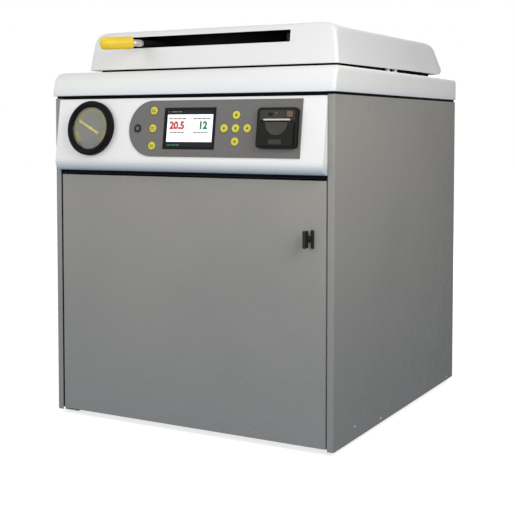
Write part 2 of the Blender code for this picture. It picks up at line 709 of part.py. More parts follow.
def build_heater():
    """A loop in the bottom of the chamber, whose two legs pass down through the dish."""
    leg_x = 0.02
    back = math.asin(leg_x / HEATER_R)
    loop = arc((0, 0), HEATER_R, math.pi / 2 + back, 2.5 * math.pi - back, 20)
    z = BASE + 0.315
    path = [(-leg_x, HEATER_R - 0.004, 0.225), (-leg_x, HEATER_R - 0.004, z - 0.006)]
    path += [(x, y, z) for x, y in loop]
    path += [(leg_x, HEATER_R - 0.004, z - 0.006), (leg_x, HEATER_R - 0.004, 0.225)]
    as_part(tube("heater_element", path, 0.004, location=(0, CENTRE_Y, 0)), "steel")


def build_load_plate():
    """A perforated plate that stands on three legs above the heater."""
    z = BASE + 0.340
    disc = rod("load_plate", (0, CENTRE_Y, z), (0, CENTRE_Y, z + 0.003), 0.180, 36)
    leg_r = 0.146
    foot_z = dish_height(leg_r + 0.005, CHAMBER_R, DISH_TOP + 0.002, DISH_DEPTH - 0.002) + 0.0010
    legs = []
    for i in range(3):
        a = math.radians(30 + 120 * i)
        x, y = leg_r * math.cos(a), CENTRE_Y + leg_r * math.sin(a)
        legs.append(rod("plate_leg_%d" % i, (x, y, foot_z), (x, y, z + 0.001), 0.005, 12))
    join(disc, *legs)
    holes = []
    for ring, count in ((0.0, 1), (0.060, 5), (0.115, 8)):
        for i in range(count):
            a = 2 * math.pi * (i + 0.25) / count
            x, y = ring * math.cos(a), CENTRE_Y + ring * math.sin(a)
            holes.append(rod("plate_hole_%d_%d" % (count, i), (x, y, z - 0.002), (x, y, z + 0.006), 0.010, 8))
    cut(disc, *holes)
    as_part(disc, "steel")


# ---------------------------------------------------------------- lid
def dome_height(radius, rise):
    return rise * (1 - (radius / DOME_R) ** 2)


def build_lid_plate():
    groove_in, groove_out, groove_top = 0.1905, 0.1995, LID_RIM + 0.0038
    radii = [DOME_R * i / 4 for i in range(5)]
    top = [(r, LID_RIM_TOP + dome_height(r, DOME_RISE)) for r in radii]
    bottom = [(r, LID_RIM + dome_height(r, DOME_RISE)) for r in reversed(radii)]
    stud = [(0.0, LEVER_Z + 0.0105), (0.010, LEVER_Z + 0.0105), (0.010, top[0][1])]
    profile = stud + top[1:] + [(LUG_R, LID_RIM_TOP), (LUG_R, LID_RIM), (groove_out, LID_RIM),
                                (groove_out, groove_top), (groove_in, groove_top),
                                (groove_in, LID_RIM)] + bottom
    lid = turned("lid_plate", profile, 40, closed=False, location=(0, CENTRE_Y, 0))
    pad = box("lid_hinge_pad", (-0.070, CENTRE_Y + 0.166, LID_RIM_TOP - 0.003),
              (0.070, CENTRE_Y + 0.180, HINGE_ARM_BOTTOM - FIT))
    join(lid, pad)
    as_part(lid, "steel")
    seal = [(0.1910, LID_RIM + 0.0035), (0.1990, LID_RIM + 0.0035), (0.1990, VESSEL_TOP + FIT),
            (0.1910, VESSEL_TOP + FIT)]
    as_part(turned("lid_gasket", seal, 40, location=(0, CENTRE_Y, 0)), "silicone")


def build_locking_ring():
    """The ring that the lever turns: three inner lugs lock under the lugs of the vessel's neck."""
    lug_in = COLLAR_R + 0.003
    lug_top = VESSEL_TOP - 0.0133
    flange_in, flange_bottom = 0.198, RING_TOP - 0.005
    profile = [(flange_in, RING_TOP), (RING_OUTER, RING_TOP), (RING_OUTER, RING_BOTTOM),
               (lug_in, RING_BOTTOM), (lug_in, lug_top), (RING_INNER, lug_top),
               (RING_INNER, flange_bottom), (flange_in, flange_bottom)]
    ring = turned("locking_ring", profile, 48, location=(0, CENTRE_Y, 0))
    cut(ring, *sector_cutters("ring_gap", 3, LUG_ARC, RING_LUG_ANGLE, lug_in - 0.004, RING_INNER + FIT,
                              RING_BOTTOM - 0.005, lug_top + 0.005))
    as_part(ring, "steel")


def build_lever():
    axis = add_empty("lever_axis", (0, CENTRE_Y, LEVER_Z), rotation=(0, 0, -LEVER_REST))
    arm = rod("lever_arm", (0, -0.015, 0), (0, -LEVER_NECK_END + 0.0010, 0), LEVER_R, 20, parent=axis)
    hub = rod("lever_hub", (0, 0, -0.0065), (0, 0, 0.0085), 0.020, 28, parent=axis)
    foot = box("lever_foot", (-0.011, -0.220, RING_TOP + FIT - LEVER_Z), (0.011, -0.200, 0.003), parent=axis)
    bore = rod("lever_bore", (0, 0, -0.02), (0, 0, 0.02), 0.010 + FIT, 28, parent=axis)
    join(arm, hub, foot)
    cut(arm, bore)
    as_part(arm, "steel")

    end = GRIP_LENGTH
    profile = [(0.0, end), (0.006, end), (0.010, end - 0.0020), (GRIP_R, end - 0.007), (GRIP_R, 0.006),
               (0.011, 0.001), (0.009, 0.0), (0.0, 0.0)]
    grip = turned("lever_grip", profile, 18, closed=False, parent=axis, location=(0, -LEVER_NECK_END, 0),
                  rotation=(math.pi / 2 + GRIP_DROOP, 0, 0))
    as_part(grip, "grip_yellow")

    half = SHUTTER_ARC / 2
    outer = arc((0, 0), SHUTTER_R, -math.pi / 2 - half, -math.pi / 2 + half, 20)
    inner = arc((0, 0), SHUTTER_R - SHEET, -math.pi / 2 + half, -math.pi / 2 - half, 20)
    shutter = plate("slot_shutter", outer + inner, SLOT_TOP - SLOT_BOTTOM + 0.003, parent=axis,
                    location=(0, 0, (SLOT_TOP + SLOT_BOTTOM) / 2 - LEVER_Z))
    arm_hole = rod("shutter_hole", (0, -SHUTTER_R + 0.02, 0), (0, -SHUTTER_R - 0.02, 0), LEVER_R + FIT, 20,
                   parent=axis)
    cut(shutter, arm_hole)
    as_part(shutter, "black_plastic")


def build_lid_cover():
    """The white cover: what a cross profile, a side profile and a rounded plan share."""
    def solid(name, inset):
        bottom = COVER_BOTTOM - (0.01 if inset else 0.0)
        hem = bottom - COVER_HEM_DROP
        top = COVER_TOP - inset
        lean = math.tan(COVER_LEAN)
        half = COVER_HALF_W - inset
        radius = COVER_CORNER_R - inset
        shoulder = COVER_TOP - COVER_CORNER_R
        side = half - (shoulder - COVER_BOTTOM) * lean
        right = [(half, hem)] + arc((side - radius, shoulder), radius, COVER_LEAN, math.pi / 2, 6)
        cross = right + [(-x, z) for x, z in reversed(right)]

        lip = 0.010
        rear = COVER_REAR - inset
        front_low = (COVER_FRONT + inset, hem)
        front_high = (COVER_FRONT + inset + (top - lip - COVER_BOTTOM) * lean, top - lip)
        front_top = (front_high[0] + lip, top)
        rear_low = (rear - 0.031, bottom)
        lower_lip = bezier(rear_low, (rear - 0.002, bottom + 0.002), (rear, BASE + 0.753), 3)
        upper_bend = bezier((rear - 0.038, BASE + 0.799 - inset), (rear - 0.055, top), (rear - 0.080, top), 4)
        profile = [front_low] + lower_lip + upper_bend
        profile += bezier(front_top, (front_high[0] + 0.002, top - 0.001), front_high, 3)

        r = 0.009
        right_x, back_y, front_y = half - r, rear - r, COVER_FRONT + inset + r
        plan = []
        for cx, cy, start in ((right_x, back_y, 0.0), (-right_x, back_y, 0.5), (-right_x, front_y, 1.0),
                              (right_x, front_y, 1.5)):
            plan += arc((cx, cy), r, start * math.pi, (start + 0.5) * math.pi, 4)
        cross_solid = plate(name, cross, 1.0)
        cross_solid.data.transform(Matrix.Rotation(math.pi / 2, 4, "X"))
        side_solid = plate(name + "_side", profile, 1.0)
        side_solid.data.transform(Matrix(((0, 0, 1, 0), (1, 0, 0, 0), (0, 1, 0, 0), (0, 0, 0, 1))))
        plan_solid = plate(name + "_plan", plan, 1.0)
        plan_solid.data.transform(Matrix.Translation((0, 0, top)))
        combine(cross_solid, "INTERSECT", [side_solid, plan_solid])
        return cross_solid

    cover = solid("lid_cover", 0.0)
    slot = box("cover_slot", (-SLOT_HALF_W, COVER_FRONT - 0.02, SLOT_BOTTOM),
               (SLOT_HALF_W, COVER_FRONT + 0.04, SLOT_TOP))
    notch = box("cover_notch", (-0.120, NOTCH_FRONT, COVER_BOTTOM - 0.02),
                (0.120, COVER_REAR + 0.01, NOTCH_TOP))
    cut(cover, solid("cover_inside", SHELL), slot, notch)
    as_part(cover, "white_shell")


def build_lid_hinge():
    barrel_ends = ((-HINGE_ARM_HALF, HINGE_Y, HINGE_Z), (HINGE_ARM_HALF, HINGE_Y, HINGE_Z))
    front = CENTRE_Y + 0.166
    arm = box("lid_hinge_arm", (-HINGE_ARM_HALF, front, HINGE_ARM_BOTTOM),
              (HINGE_ARM_HALF, HINGE_Y - 0.006, HINGE_ARM_BOTTOM + 0.009))
    leg = box("hinge_leg", (-HINGE_ARM_HALF, HINGE_Y - 0.015, HINGE_Z),
              (HINGE_ARM_HALF, HINGE_Y - 0.006, HINGE_ARM_BOTTOM + 0.004))
    barrel = rod("hinge_barrel", *barrel_ends, HINGE_R, 20)
    bore = rod("hinge_bore", (-0.2, HINGE_Y, HINGE_Z), (0.2, HINGE_Y, HINGE_Z), HINGE_PIN_R + FIT, 16)
    join(arm, leg, barrel)
    cut(arm, bore)
    as_part(arm, "frame_steel")

    outer = 0.112
    bracket = box("lid_hinge_bracket", (-outer, HINGE_Y - 0.024, HOOD_TOP + FIT),
                  (outer, HINGE_Y + 0.003, HOOD_TOP + 0.0030))
    for i, side in enumerate((-1, 1)):
        near, far = side * (HINGE_ARM_HALF + 0.001), side * outer
        ear = box("bracket_ear_%d" % i, (min(near, far), HINGE_Y - HINGE_R, HOOD_TOP + 0.001),
                  (max(near, far), HINGE_Y + HINGE_R, HINGE_Z))
        eye = rod("bracket_eye_%d" % i, (near, HINGE_Y, HINGE_Z), (far, HINGE_Y, HINGE_Z), HINGE_R, 20)
        join(bracket, ear, eye)
    eye_bore = rod("bracket_bore", (-0.2, HINGE_Y, HINGE_Z), (0.2, HINGE_Y, HINGE_Z), HINGE_PIN_R + FIT, 16)
    cut(bracket, eye_bore)
    as_part(bracket, "frame_steel")
    pin = rod("lid_hinge_pin", (-outer - 0.003, HINGE_Y, HINGE_Z), (outer + 0.003, HINGE_Y, HINGE_Z),
              HINGE_PIN_R, 20)
    as_part(pin, "steel")


# ---------------------------------------------------------------- services
def build_safety_valve():
    x, y, z = 0.080, 0.295, BASE + 0.600
    valve = rod("safety_valve", (x, CENTRE_Y + 0.2215, z), (x, y, z), 0.007, 16)
    body = turned("safety_body",
                  [(0.0, 0.050), (0.006, 0.050), (0.009, 0.046), (0.009, 0.030), (0.013, 0.028),
                                  (0.013, -0.010), (0.009, -0.014), (0.0, -0.014)], 20, closed=False,
                  location=(x, y, z))
    join(valve, body)
    as_part(valve, "brass")


def build_drain():
    """A pipe from the dish to a quarter-turn valve behind the front door."""
    z = 0.120
    top = DISH_TOP - DISH_DEPTH - FIT
    pipe = rod("drain_valve_body", (0, CENTRE_Y, z - 0.009), (0, CENTRE_Y, top), 0.010, 16)
    run = rod("drain_run", (0, CENTRE_Y, z), (0, VALVE_Y - 0.045, z), 0.009, 16)
    block = box("drain_block", (-0.017, VALVE_Y - 0.020, z - 0.016), (0.017, VALVE_Y + 0.020, z + 0.016))
    neck = rod("drain_neck", (0, VALVE_Y, z + 0.01), (0, VALVE_Y, z + 0.021), 0.009, 16)
    join(pipe, run, block, neck)
    as_part(pipe, "brass")
    axis = add_empty("drain_axis", (0, VALVE_Y, z + 0.021))
    handle = box("drain_valve_handle", (-0.007, -0.060, FIT), (0.007, 0.008, 0.0045), is_upright, 0.004, 2,
                 parent=axis)
    as_part(handle, "red_plastic")


def build_fan():
    axis = add_empty("fan_axis", (FAN_X, REAR_PANEL_Y - 0.014, FAN_Z))
    rotor = rod("fan_rotor", (0, -0.010, 0), (0, 0.0130, 0), 0.016, 20, parent=axis)
    for i in range(6):
        turn = 2 * math.pi * i / 6
        blade = box("fan_blade_%d" % i, (-0.009, -0.0008, 0.010), (0.009, 0.0008, 0.042), parent=axis)
        blade.data.transform(Matrix.Rotation(turn, 4, "Y") @ Matrix.Rotation(math.radians(35), 4, "Z"))
        join(rotor, blade)
    as_part(rotor, "black_plastic")


def build_rear_fittings():
    y = REAR_PANEL_Y + SHEET + FIT
    inlet = box("mains_inlet", (INLET_X - 0.025, y, INLET_Z - 0.014),
                (INLET_X + 0.025, y + 0.004, INLET_Z + 0.014))
    can = box("inlet_can", (INLET_X - 0.014, REAR_PANEL_Y - 0.018, INLET_Z - 0.010),
              (INLET_X + 0.014, y + 0.001, INLET_Z + 0.010))
    socket = box("inlet_socket", (INLET_X - 0.011, REAR_PANEL_Y - 0.012, INLET_Z - 0.0075),
                 (INLET_X + 0.011, y + 0.02, INLET_Z + 0.0075))
    join(inlet, can)
    cut(inlet, socket)
    as_part(inlet, "black_plastic")
    reach = REAR_REACH - y
    profile = [(0.0075, reach), (0.0095, reach), (0.0105, reach - 0.003), (0.0085, reach - 0.008),
               (0.0105, 0.012),
               (0.0160, 0.010), (0.0160, 0.0), (0.0100, 0.0), (0.0100, -0.020), (0.0075, -0.020)]
    outlet = turned("exhaust_outlet", profile, 14, location=(OUTLET_X, y, OUTLET_Z),
                    rotation=(-math.pi / 2, 0, 0))
    as_part(outlet, "brass")


# ---------------------------------------------------------------- places that several parts share
HINGE_ARM_BOTTOM = RING_TOP + 0.0008
NECK_LUG_ANGLE = math.radians(90.0)
RING_LUG_ANGLE = NECK_LUG_ANGLE + math.radians(60.0)
HEATER_R = 0.130
VALVE_Y = -0.270
POWER_KEY_X = -0.1055
BUTTON_X = 0.2460
PRINTER_DOOR_BOTTOM = -0.0355
FAN_X, FAN_Z = -0.180, BASE + 0.520
INLET_X, INLET_Z = 0.230, BASE + 0.090
OUTLET_X, OUTLET_Z = -0.200, BASE + 0.120
KEYS = [("key_power", POWER_KEY_X, 0.0)]
LEFT_KEYS = (("top", 0.036), ("middle", 0.0), ("bottom", -0.0355))
KEYS += [("key_left_%s" % name, -0.068, z) for name, z in LEFT_KEYS]
KEYS += [("key_centre", 0.125, 0.0), ("key_up", 0.125, KEY_HALF_PITCH), ("key_down", 0.125, -KEY_HALF_PITCH),
         ("key_left", 0.125 - KEY_HALF_PITCH, 0.0), ("key_right", 0.125 + KEY_HALF_PITCH, 0.0)]

clear_scene()
PARTS = make_collection("benchtop_autoclave")
CUTTERS = make_collection("cutters")
FACE_Y = -FASCIA_FRONT + ROLL_R - ROLL_R * math.cos(FASCIA_SLOPE)
FACE_Y += (FACE_Z - FASCIA_BOTTOM - ROLL_R - ROLL_R * math.sin(FASCIA_SLOPE)) * math.tan(FASCIA_SLOPE)
FACE = add_empty("fascia_face", (0.0, FACE_Y, FACE_Z), rotation=(-FASCIA_SLOPE, 0, 0))

build_side_panel("side_panel_left", -1)
build_side_panel("side_panel_right", 1)
build_base_tray()
build_feet()
build_rear_panel()
build_chassis_frame()
build_fascia_backing()
build_hood()
build_fascia()
build_overlay()
build_display()
build_keys()
build_controller_board()
build_gauge()
build_printer()
build_door()
build_latch()
build_vessel()
build_neck_ring()
build_jacket()
build_heater()
build_load_plate()
build_lid_plate()
build_locking_ring()
build_lever()
build_lid_cover()
build_lid_hinge()
build_safety_valve()
build_drain()
build_fan()
build_rear_fittings()
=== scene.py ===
"""Looks of the benchtop autoclave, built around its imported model. Metres, +Z up, front faces -Y."""
import json
import math

import bmesh
import bpy
from mathutils import Matrix, Vector


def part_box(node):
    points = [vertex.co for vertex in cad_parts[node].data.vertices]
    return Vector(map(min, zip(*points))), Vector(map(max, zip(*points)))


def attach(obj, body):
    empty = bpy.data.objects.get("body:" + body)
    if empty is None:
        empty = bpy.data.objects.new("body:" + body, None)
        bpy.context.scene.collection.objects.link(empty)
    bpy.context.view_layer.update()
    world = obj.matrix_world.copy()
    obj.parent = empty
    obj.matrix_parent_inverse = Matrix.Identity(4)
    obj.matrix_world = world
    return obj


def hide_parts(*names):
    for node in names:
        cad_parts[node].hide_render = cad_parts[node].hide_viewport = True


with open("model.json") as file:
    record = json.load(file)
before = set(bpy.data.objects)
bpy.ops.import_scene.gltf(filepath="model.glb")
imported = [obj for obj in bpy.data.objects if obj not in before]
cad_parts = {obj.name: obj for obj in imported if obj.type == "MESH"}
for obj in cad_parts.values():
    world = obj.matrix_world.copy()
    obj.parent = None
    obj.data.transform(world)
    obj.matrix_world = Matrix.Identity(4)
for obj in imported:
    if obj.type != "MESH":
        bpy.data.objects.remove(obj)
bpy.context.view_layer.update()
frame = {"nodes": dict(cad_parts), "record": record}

# ---- places read from the frame
JOINTS = {joint["name"]: joint for joint in frame["record"]["behaviour"]["joints"]}
HOOD_LOW, HOOD_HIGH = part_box("hood")
COVER_LOW, COVER_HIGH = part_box("lid_cover")
FASCIA_LOW, FASCIA_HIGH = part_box("fascia_panel")
DOOR_LOW, DOOR_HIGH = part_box("front_door")
NECK_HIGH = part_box("vessel_neck_ring")[1]
VESSEL_CENTRE = Vector(JOINTS["lever_swing"]["pos_m"])

# The face of the fascia: u to the right, v up the slope, w out of it.
INWARD = Vector(JOINTS["gauge_needle_turn"]["axis"])
GAUGE_CENTRE = Vector(JOINTS["gauge_needle_turn"]["pos_m"])
FACE_UP = Vector((0, -INWARD.z, INWARD.y))
FACE = Matrix(((1, 0, 0, 0),
               (0, FACE_UP.y, -INWARD.y, GAUGE_CENTRE.y),
               (0, FACE_UP.z, -INWARD.z, GAUGE_CENTRE.z),
               (0, 0, 0, 1)))
SLOPE = math.atan2(FACE_UP.y, FACE_UP.z)
FIT = 0.0003
QUARTER = math.pi / 2
SMOOTH_ANGLE = 32


def at(x, y, z):
    return Matrix.Translation((x, y, z))


def turn_by(degrees, axis):
    return Matrix.Rotation(math.radians(degrees), 4, axis)


def on_face(u, v, w=0):
    return FACE @ at(u, v, w)


# ---- materials
MIX_A, MIX_B, MIX_RESULT = 6, 7, 2


def scaled(colour, factor):
    return tuple(c * factor for c in colour)


def feed(socket, value):
    """Give a socket a value, or link another node's output to it."""
    if isinstance(value, bpy.types.NodeSocket):
        socket.id_data.links.new(value, socket)
    else:
        socket.default_value = value


def add_node(tree, kind, values=None, **settings):
    """Add a node, with its settings and what its sockets are fed."""
    node = tree.nodes.new(kind)
    for key, value in settings.items():
        setattr(node, key, value)
    for key, value in (values or {}).items():
        feed(node.inputs[key], value)
    return node


class Look:
    """A material being built: its shader, and short calls that add procedural nodes to it."""

    def __init__(self, name, colour, roughness, metallic=0):
        self.material = bpy.data.materials.new(name)
        self.material.use_nodes = True
        self.shader = self.material.node_tree.nodes["Principled BSDF"]
        self.colour = colour
        self.roughness = roughness
        self.set(Base_Color=(*colour, 1), Roughness=roughness, Metallic=metallic)
        self.base = None
        self.normal = None
        self.place = self.node("TexCoord").outputs["Object"]

    def node(self, kind, values=None, **settings):
        return add_node(self.material.node_tree, "ShaderNode" + kind, values, **settings)

    def set(self, **values):
        """Feed the shader's sockets, named with _ for a space."""
        for key, value in values.items():
            feed(self.shader.inputs[key.replace("_", " ")], value)
        return self

    def noise(self, scale, detail=3, stretch=(1, 1, 1), roughness=0.5):
        place = self.place
        if tuple(stretch) != (1, 1, 1):
            place = self.node("Mapping", {"Vector": place, "Scale": stretch}).outputs["Vector"]
        values = {"Vector": place, "Scale": scale, "Detail": detail, "Roughness": roughness}
        return self.node("TexNoise", values).outputs["Fac"]

    def span(self, factor, low, high, to_low=0, to_high=1):
        values = {"Value": factor, "From Min": low, "From Max": high, "To Min": to_low, "To Max": to_high}
        return self.node("MapRange", values).outputs["Result"]

    def height_on(self, axis, low, high):
        """0 to 1 along one of the object's axes."""
        split = self.node("SeparateXYZ", {"Vector": self.place}).outputs[axis]
        return self.span(split, low, high)

    def tint(self, factor, colour):
        """Move the base colour towards another where factor is high."""
        values = {"Factor": factor, MIX_A: self.base or (*self.colour, 1), MIX_B: (*colour, 1)}
        self.base = self.node("Mix", values, data_type="RGBA").outputs[MIX_RESULT]
        return self

    def patches(self, colour, scale, limits, strength=1, detail=3, stretch=(1, 1, 1)):
        """Patches of another colour, growing in between two limits of a noise."""
        return self.tint(self.span(self.noise(scale, detail, stretch), *limits, 0, strength), colour)

    def drift(self, amount, scale=5, stretch=(1, 1, 1)):
        """Slow change of shade over the surface."""
        return self.patches(scaled(self.colour, 1 - amount), scale, (0.35, 0.7), 1, 4, stretch)

    def specks(self, colour, scale, cover, stretch=(1, 1, 1)):
        """Small marks, where a fine noise passes a threshold."""
        limit = 1 - cover
        return self.tint(self.span(self.noise(scale, 2, stretch, 0.6), limit, limit + 0.06), colour)

    def grain(self, scale, depth, stretch=(1, 1, 1), detail=2):
        """Relief, with its depth in metres."""
        values = {"Height": self.noise(scale, detail, stretch), "Distance": depth, "Strength": 1}
        if self.normal:
            values["Normal"] = self.normal
        self.normal = self.node("Bump", values).outputs["Normal"]
        return self

    def sheen_change(self, spread, scale=14, stretch=(1, 1, 1)):
        """Patches that are a little shinier or duller."""
        low, high = max(0.02, self.roughness - spread), min(1, self.roughness + spread)
        return self.set(Roughness=self.span(self.noise(scale, 3, stretch), 0.3, 0.7, low, high))

    def done(self):
        if self.base:
            self.set(Base_Color=self.base)
        if self.normal:
            self.set(Normal=self.normal)
        return self.material


def cabinet_paint(name, colour, shaded_low_colour, shade_top_z, worn):
    """Fine textured powder coat with faint rub marks, and painted shade that makes it cooler and darker low
    down.
    """
    look = Look(name, colour, 0.42)
    # painted shade: the colour fades from the paint's own grey to a darker, cooler grey towards the floor
    look.tint(look.height_on("Z", shade_top_z, 0), shaded_low_colour)
    look.patches(scaled(shaded_low_colour, 0.93), 3, (0.45, 0.85), 0.6, 4)
    look.specks(scaled(colour, 1.12), 420, 0.36)
    look.patches(scaled(colour, 1.2), 60, (0.68, 0.8), worn, stretch=(1, 1, 0.06))
    look.grain(900, 0.00006).grain(160, 0.00003)
    return look.sheen_change(0.08, 30).done()


def white_moulding(name, colour=(0.8, 0.8, 0.79), shade_colour=(0.66, 0.7, 0.75), shade_span=None):
    """Satin white moulding: slight waviness, faint dust, and painted blue-grey shade towards a chosen edge."""
    look = Look(name, colour, 0.34)
    look.drift(0.035, 4)
    # painted shade: a blue-grey tint over a band of height, where the edge turns under
    if shade_span:
        look.tint(look.height_on("Z", *shade_span), shade_colour)
    look.specks(scaled(colour, 0.9), 260, 0.3)
    look.grain(700, 0.00003).grain(7, 0.0006)
    look.set(Coat_Weight=0.15, Coat_Roughness=0.25)
    return look.sheen_change(0.06, 9).done()


def moulded(name, colour, roughness=0.45, grain=1200, depth=0.00005, dust=0.1, gloss=0.5):
    """Moulded plastic with a fine spark-eroded grain and a little dust."""
    look = Look(name, colour, roughness)
    look.set(Specular_IOR_Level=gloss)
    look.drift(0.15, 18)
    look.specks(tuple(c + dust * 0.5 for c in colour), 330, 0.31)
    return look.grain(grain, depth).sheen_change(0.09, 40).done()


def brushed(name, colour=(0.62, 0.62, 0.61), roughness=0.3, along=(1, 1, 0.02)):
    """Brushed metal: fine lines along one axis."""
    look = Look(name, colour, roughness, 1)
    look.drift(0.1, 9)
    look.patches(scaled(colour, 0.8), 500, (0.4, 0.75), 0.25, stretch=along)
    return look.grain(800, 0.000006, along).sheen_change(0.1, 120, along).done()


def turned(name, colour, roughness):
    """Turned or spun metal: fine rings about the vessel's upright axis."""
    look = Look(name, colour, roughness, 1)

    def vector(operation, values, output="Vector"):
        return look.node("VectorMath", values, operation=operation).outputs[output]

    out = vector("SUBTRACT", {0: look.place, 1: (VESSEL_CENTRE.x, VESSEL_CENTRE.y, 0)})
    level = vector("MULTIPLY", {0: out, 1: (1, 1, 0)})
    radius = vector("LENGTH", {0: level}, "Value")
    height = look.node("SeparateXYZ", {"Vector": out}).outputs["Z"]
    look.place = look.node("CombineXYZ", {"X": radius, "Z": height}).outputs["Vector"]
    look.drift(0.08, 30)
    look.patches(scaled(colour, 0.78), 260, (0.4, 0.75), 0.3)
    return look.grain(500, 0.000008).sheen_change(0.08, 60).done()


def plated(name, colour=(0.42, 0.43, 0.44)):
    """Zinc-plated steel with faint spangles."""
    look = Look(name, colour, 0.38, 0.85)
    cells = look.node("TexVoronoi", {"Vector": look.place, "Scale": 70}).outputs["Color"]
    shade = look.node("SeparateColor", {"Color": cells}).outputs["Red"]
    look.tint(look.span(shade, 0, 1, 0, 0.5), scaled(colour, 0.75))
    return look.grain(300, 0.00003).sheen_change(0.1, 25).done()


def rubbery(name, colour=(0.028, 0.028, 0.03)):
    look = Look(name, colour, 0.75)
    look.drift(0.2, 30).specks((0.12, 0.12, 0.11), 240, 0.34)
    return look.grain(1100, 0.00008).sheen_change(0.1, 60).done()


def dipped_grip(name):
    """Yellow PVC sleeve, slightly soiled, with a soft orange-peel skin."""
    look = Look(name, (0.94, 0.67, 0.03), 0.38)
    look.drift(0.1, 30).patches((0.7, 0.42, 0.02), 90, (0.62, 0.75), 0.35, 4)
    look.grain(420, 0.0001).grain(1500, 0.00003)
    look.set(Subsurface_Weight=0.06, Subsurface_Radius=(0.01, 0.006, 0.002))
    return look.sheen_change(0.08, 50).done()


def printed_film(name, colour=(0.135, 0.129, 0.124)):
    """Matt polycarbonate film over the controls."""
    look = Look(name, colour, 0.46)
    look.drift(0.05, 8).specks(scaled(colour, 1.25), 700, 0.4)
    return look.grain(1600, 0.00004).sheen_change(0.05, 20).done()


def lit(name, colour, strength):
    """A lit area of the display: faint unevenness over an even glow."""
    look = Look(name, colour, 0.2)
    look.drift(0.02, 30).grain(2500, 0.00001)
    look.set(Emission_Color=(*colour, 1), Emission_Strength=strength, Specular_IOR_Level=0.12)
    return look.sheen_change(0.03, 60).done()


def glassy(name):
    look = Look(name, (0.93, 0.95, 0.95), 0.04)
    look.drift(0.02, 20).grain(300, 0.000005)
    look.set(Transmission_Weight=0.95, IOR=1.45, Alpha=0.25)
    return look.sheen_change(0.02, 25).done()


def paper_look(name):
    look = Look(name, (0.8, 0.76, 0.64), 0.85)
    look.drift(0.06, 40).specks((0.62, 0.58, 0.46), 900, 0.36, (1, 0.3, 1))
    return look.grain(1500, 0.00006).sheen_change(0.05, 50).done()


def wool(name):
    look = Look(name, (0.56, 0.53, 0.44), 0.95)
    look.drift(0.25, 25).specks((0.78, 0.76, 0.68), 300, 0.42, (1, 1, 0.2))
    return look.grain(200, 0.0012, detail=5).sheen_change(0.04, 30).done()


def circuit(name):
    """Solder mask with tracks."""
    look = Look(name, (0.02, 0.13, 0.055), 0.42)
    bricks = look.node("TexBrick", {"Vector": look.place, "Scale": 120, "Mortar Size": 0.03})
    look.tint(look.span(bricks.outputs["Fac"], 0, 1, 0, 0.5), (0.05, 0.24, 0.1))
    return look.grain(400, 0.00004).sheen_change(0.08, 80).done()


# the cabinet grey, then the darker, cooler grey of the painted shade that it fades to low down
GREY_TOP = (0.292, 0.281, 0.258)
GREY_PAINTED_SHADE = (0.198, 0.206, 0.212)
YELLOW_KEY = (0.66, 0.6, 0.045)
BLACK = (0.013, 0.013, 0.014)

# look: colour, roughness, scale and depth of the grain, dust, gloss
MOULDED = {
    # a navy sheet that is painted shade: it fills the gaps round the fascia with dark
    "dark_sheet": ((0.0035, 0.007, 0.014), 0.6, 700, 0.00005, 0.004, 0.12),
    "black_plastic": (BLACK, 0.42, 1200, 0.00004, 0.02, 0.3),
    "bezel_black": ((0.0045, 0.0045, 0.005), 0.55, 1200, 0.00004, 0.006, 0.12),
    "black_gloss": ((0.005, 0.005, 0.006), 0.3, 1500, 0.00001, 0.005, 0.12),
    # black_matt is the lever sleeve's own black, and also painted shade under the hood, under the lid and in
    # the slot
    "black_matt": ((0.004, 0.004, 0.004), 0.75, 900, 0.00008, 0.008, 0.08),
    "printer_dark": ((0.0065, 0.0065, 0.0048), 0.48, 1200, 0.00005, 0.03, 0.2),
    "printer_grey": ((0.036, 0.038, 0.029), 0.5, 1200, 0.00005, 0.05, 0.25),
    "printer_recess": ((0.056, 0.054, 0.044), 0.55, 1200, 0.00005, 0.05, 0.25),
    "key_yellow": (YELLOW_KEY, 0.42, 1400, 0.00003, 0.06),
    "key_dark": ((0.16, 0.14, 0.012), 0.5, 1400, 0.00003, 0.03),
    "dial_mark": ((0.4, 0.37, 0.035), 0.5, 1500, 0.00002, 0.03),
    "needle": ((0.78, 0.64, 0.06), 0.4, 1500, 0.00002, 0.03),
    "red_plastic": ((0.34, 0.035, 0.022), 0.42),
    "dull_red": ((0.16, 0.075, 0.06), 0.5),
}
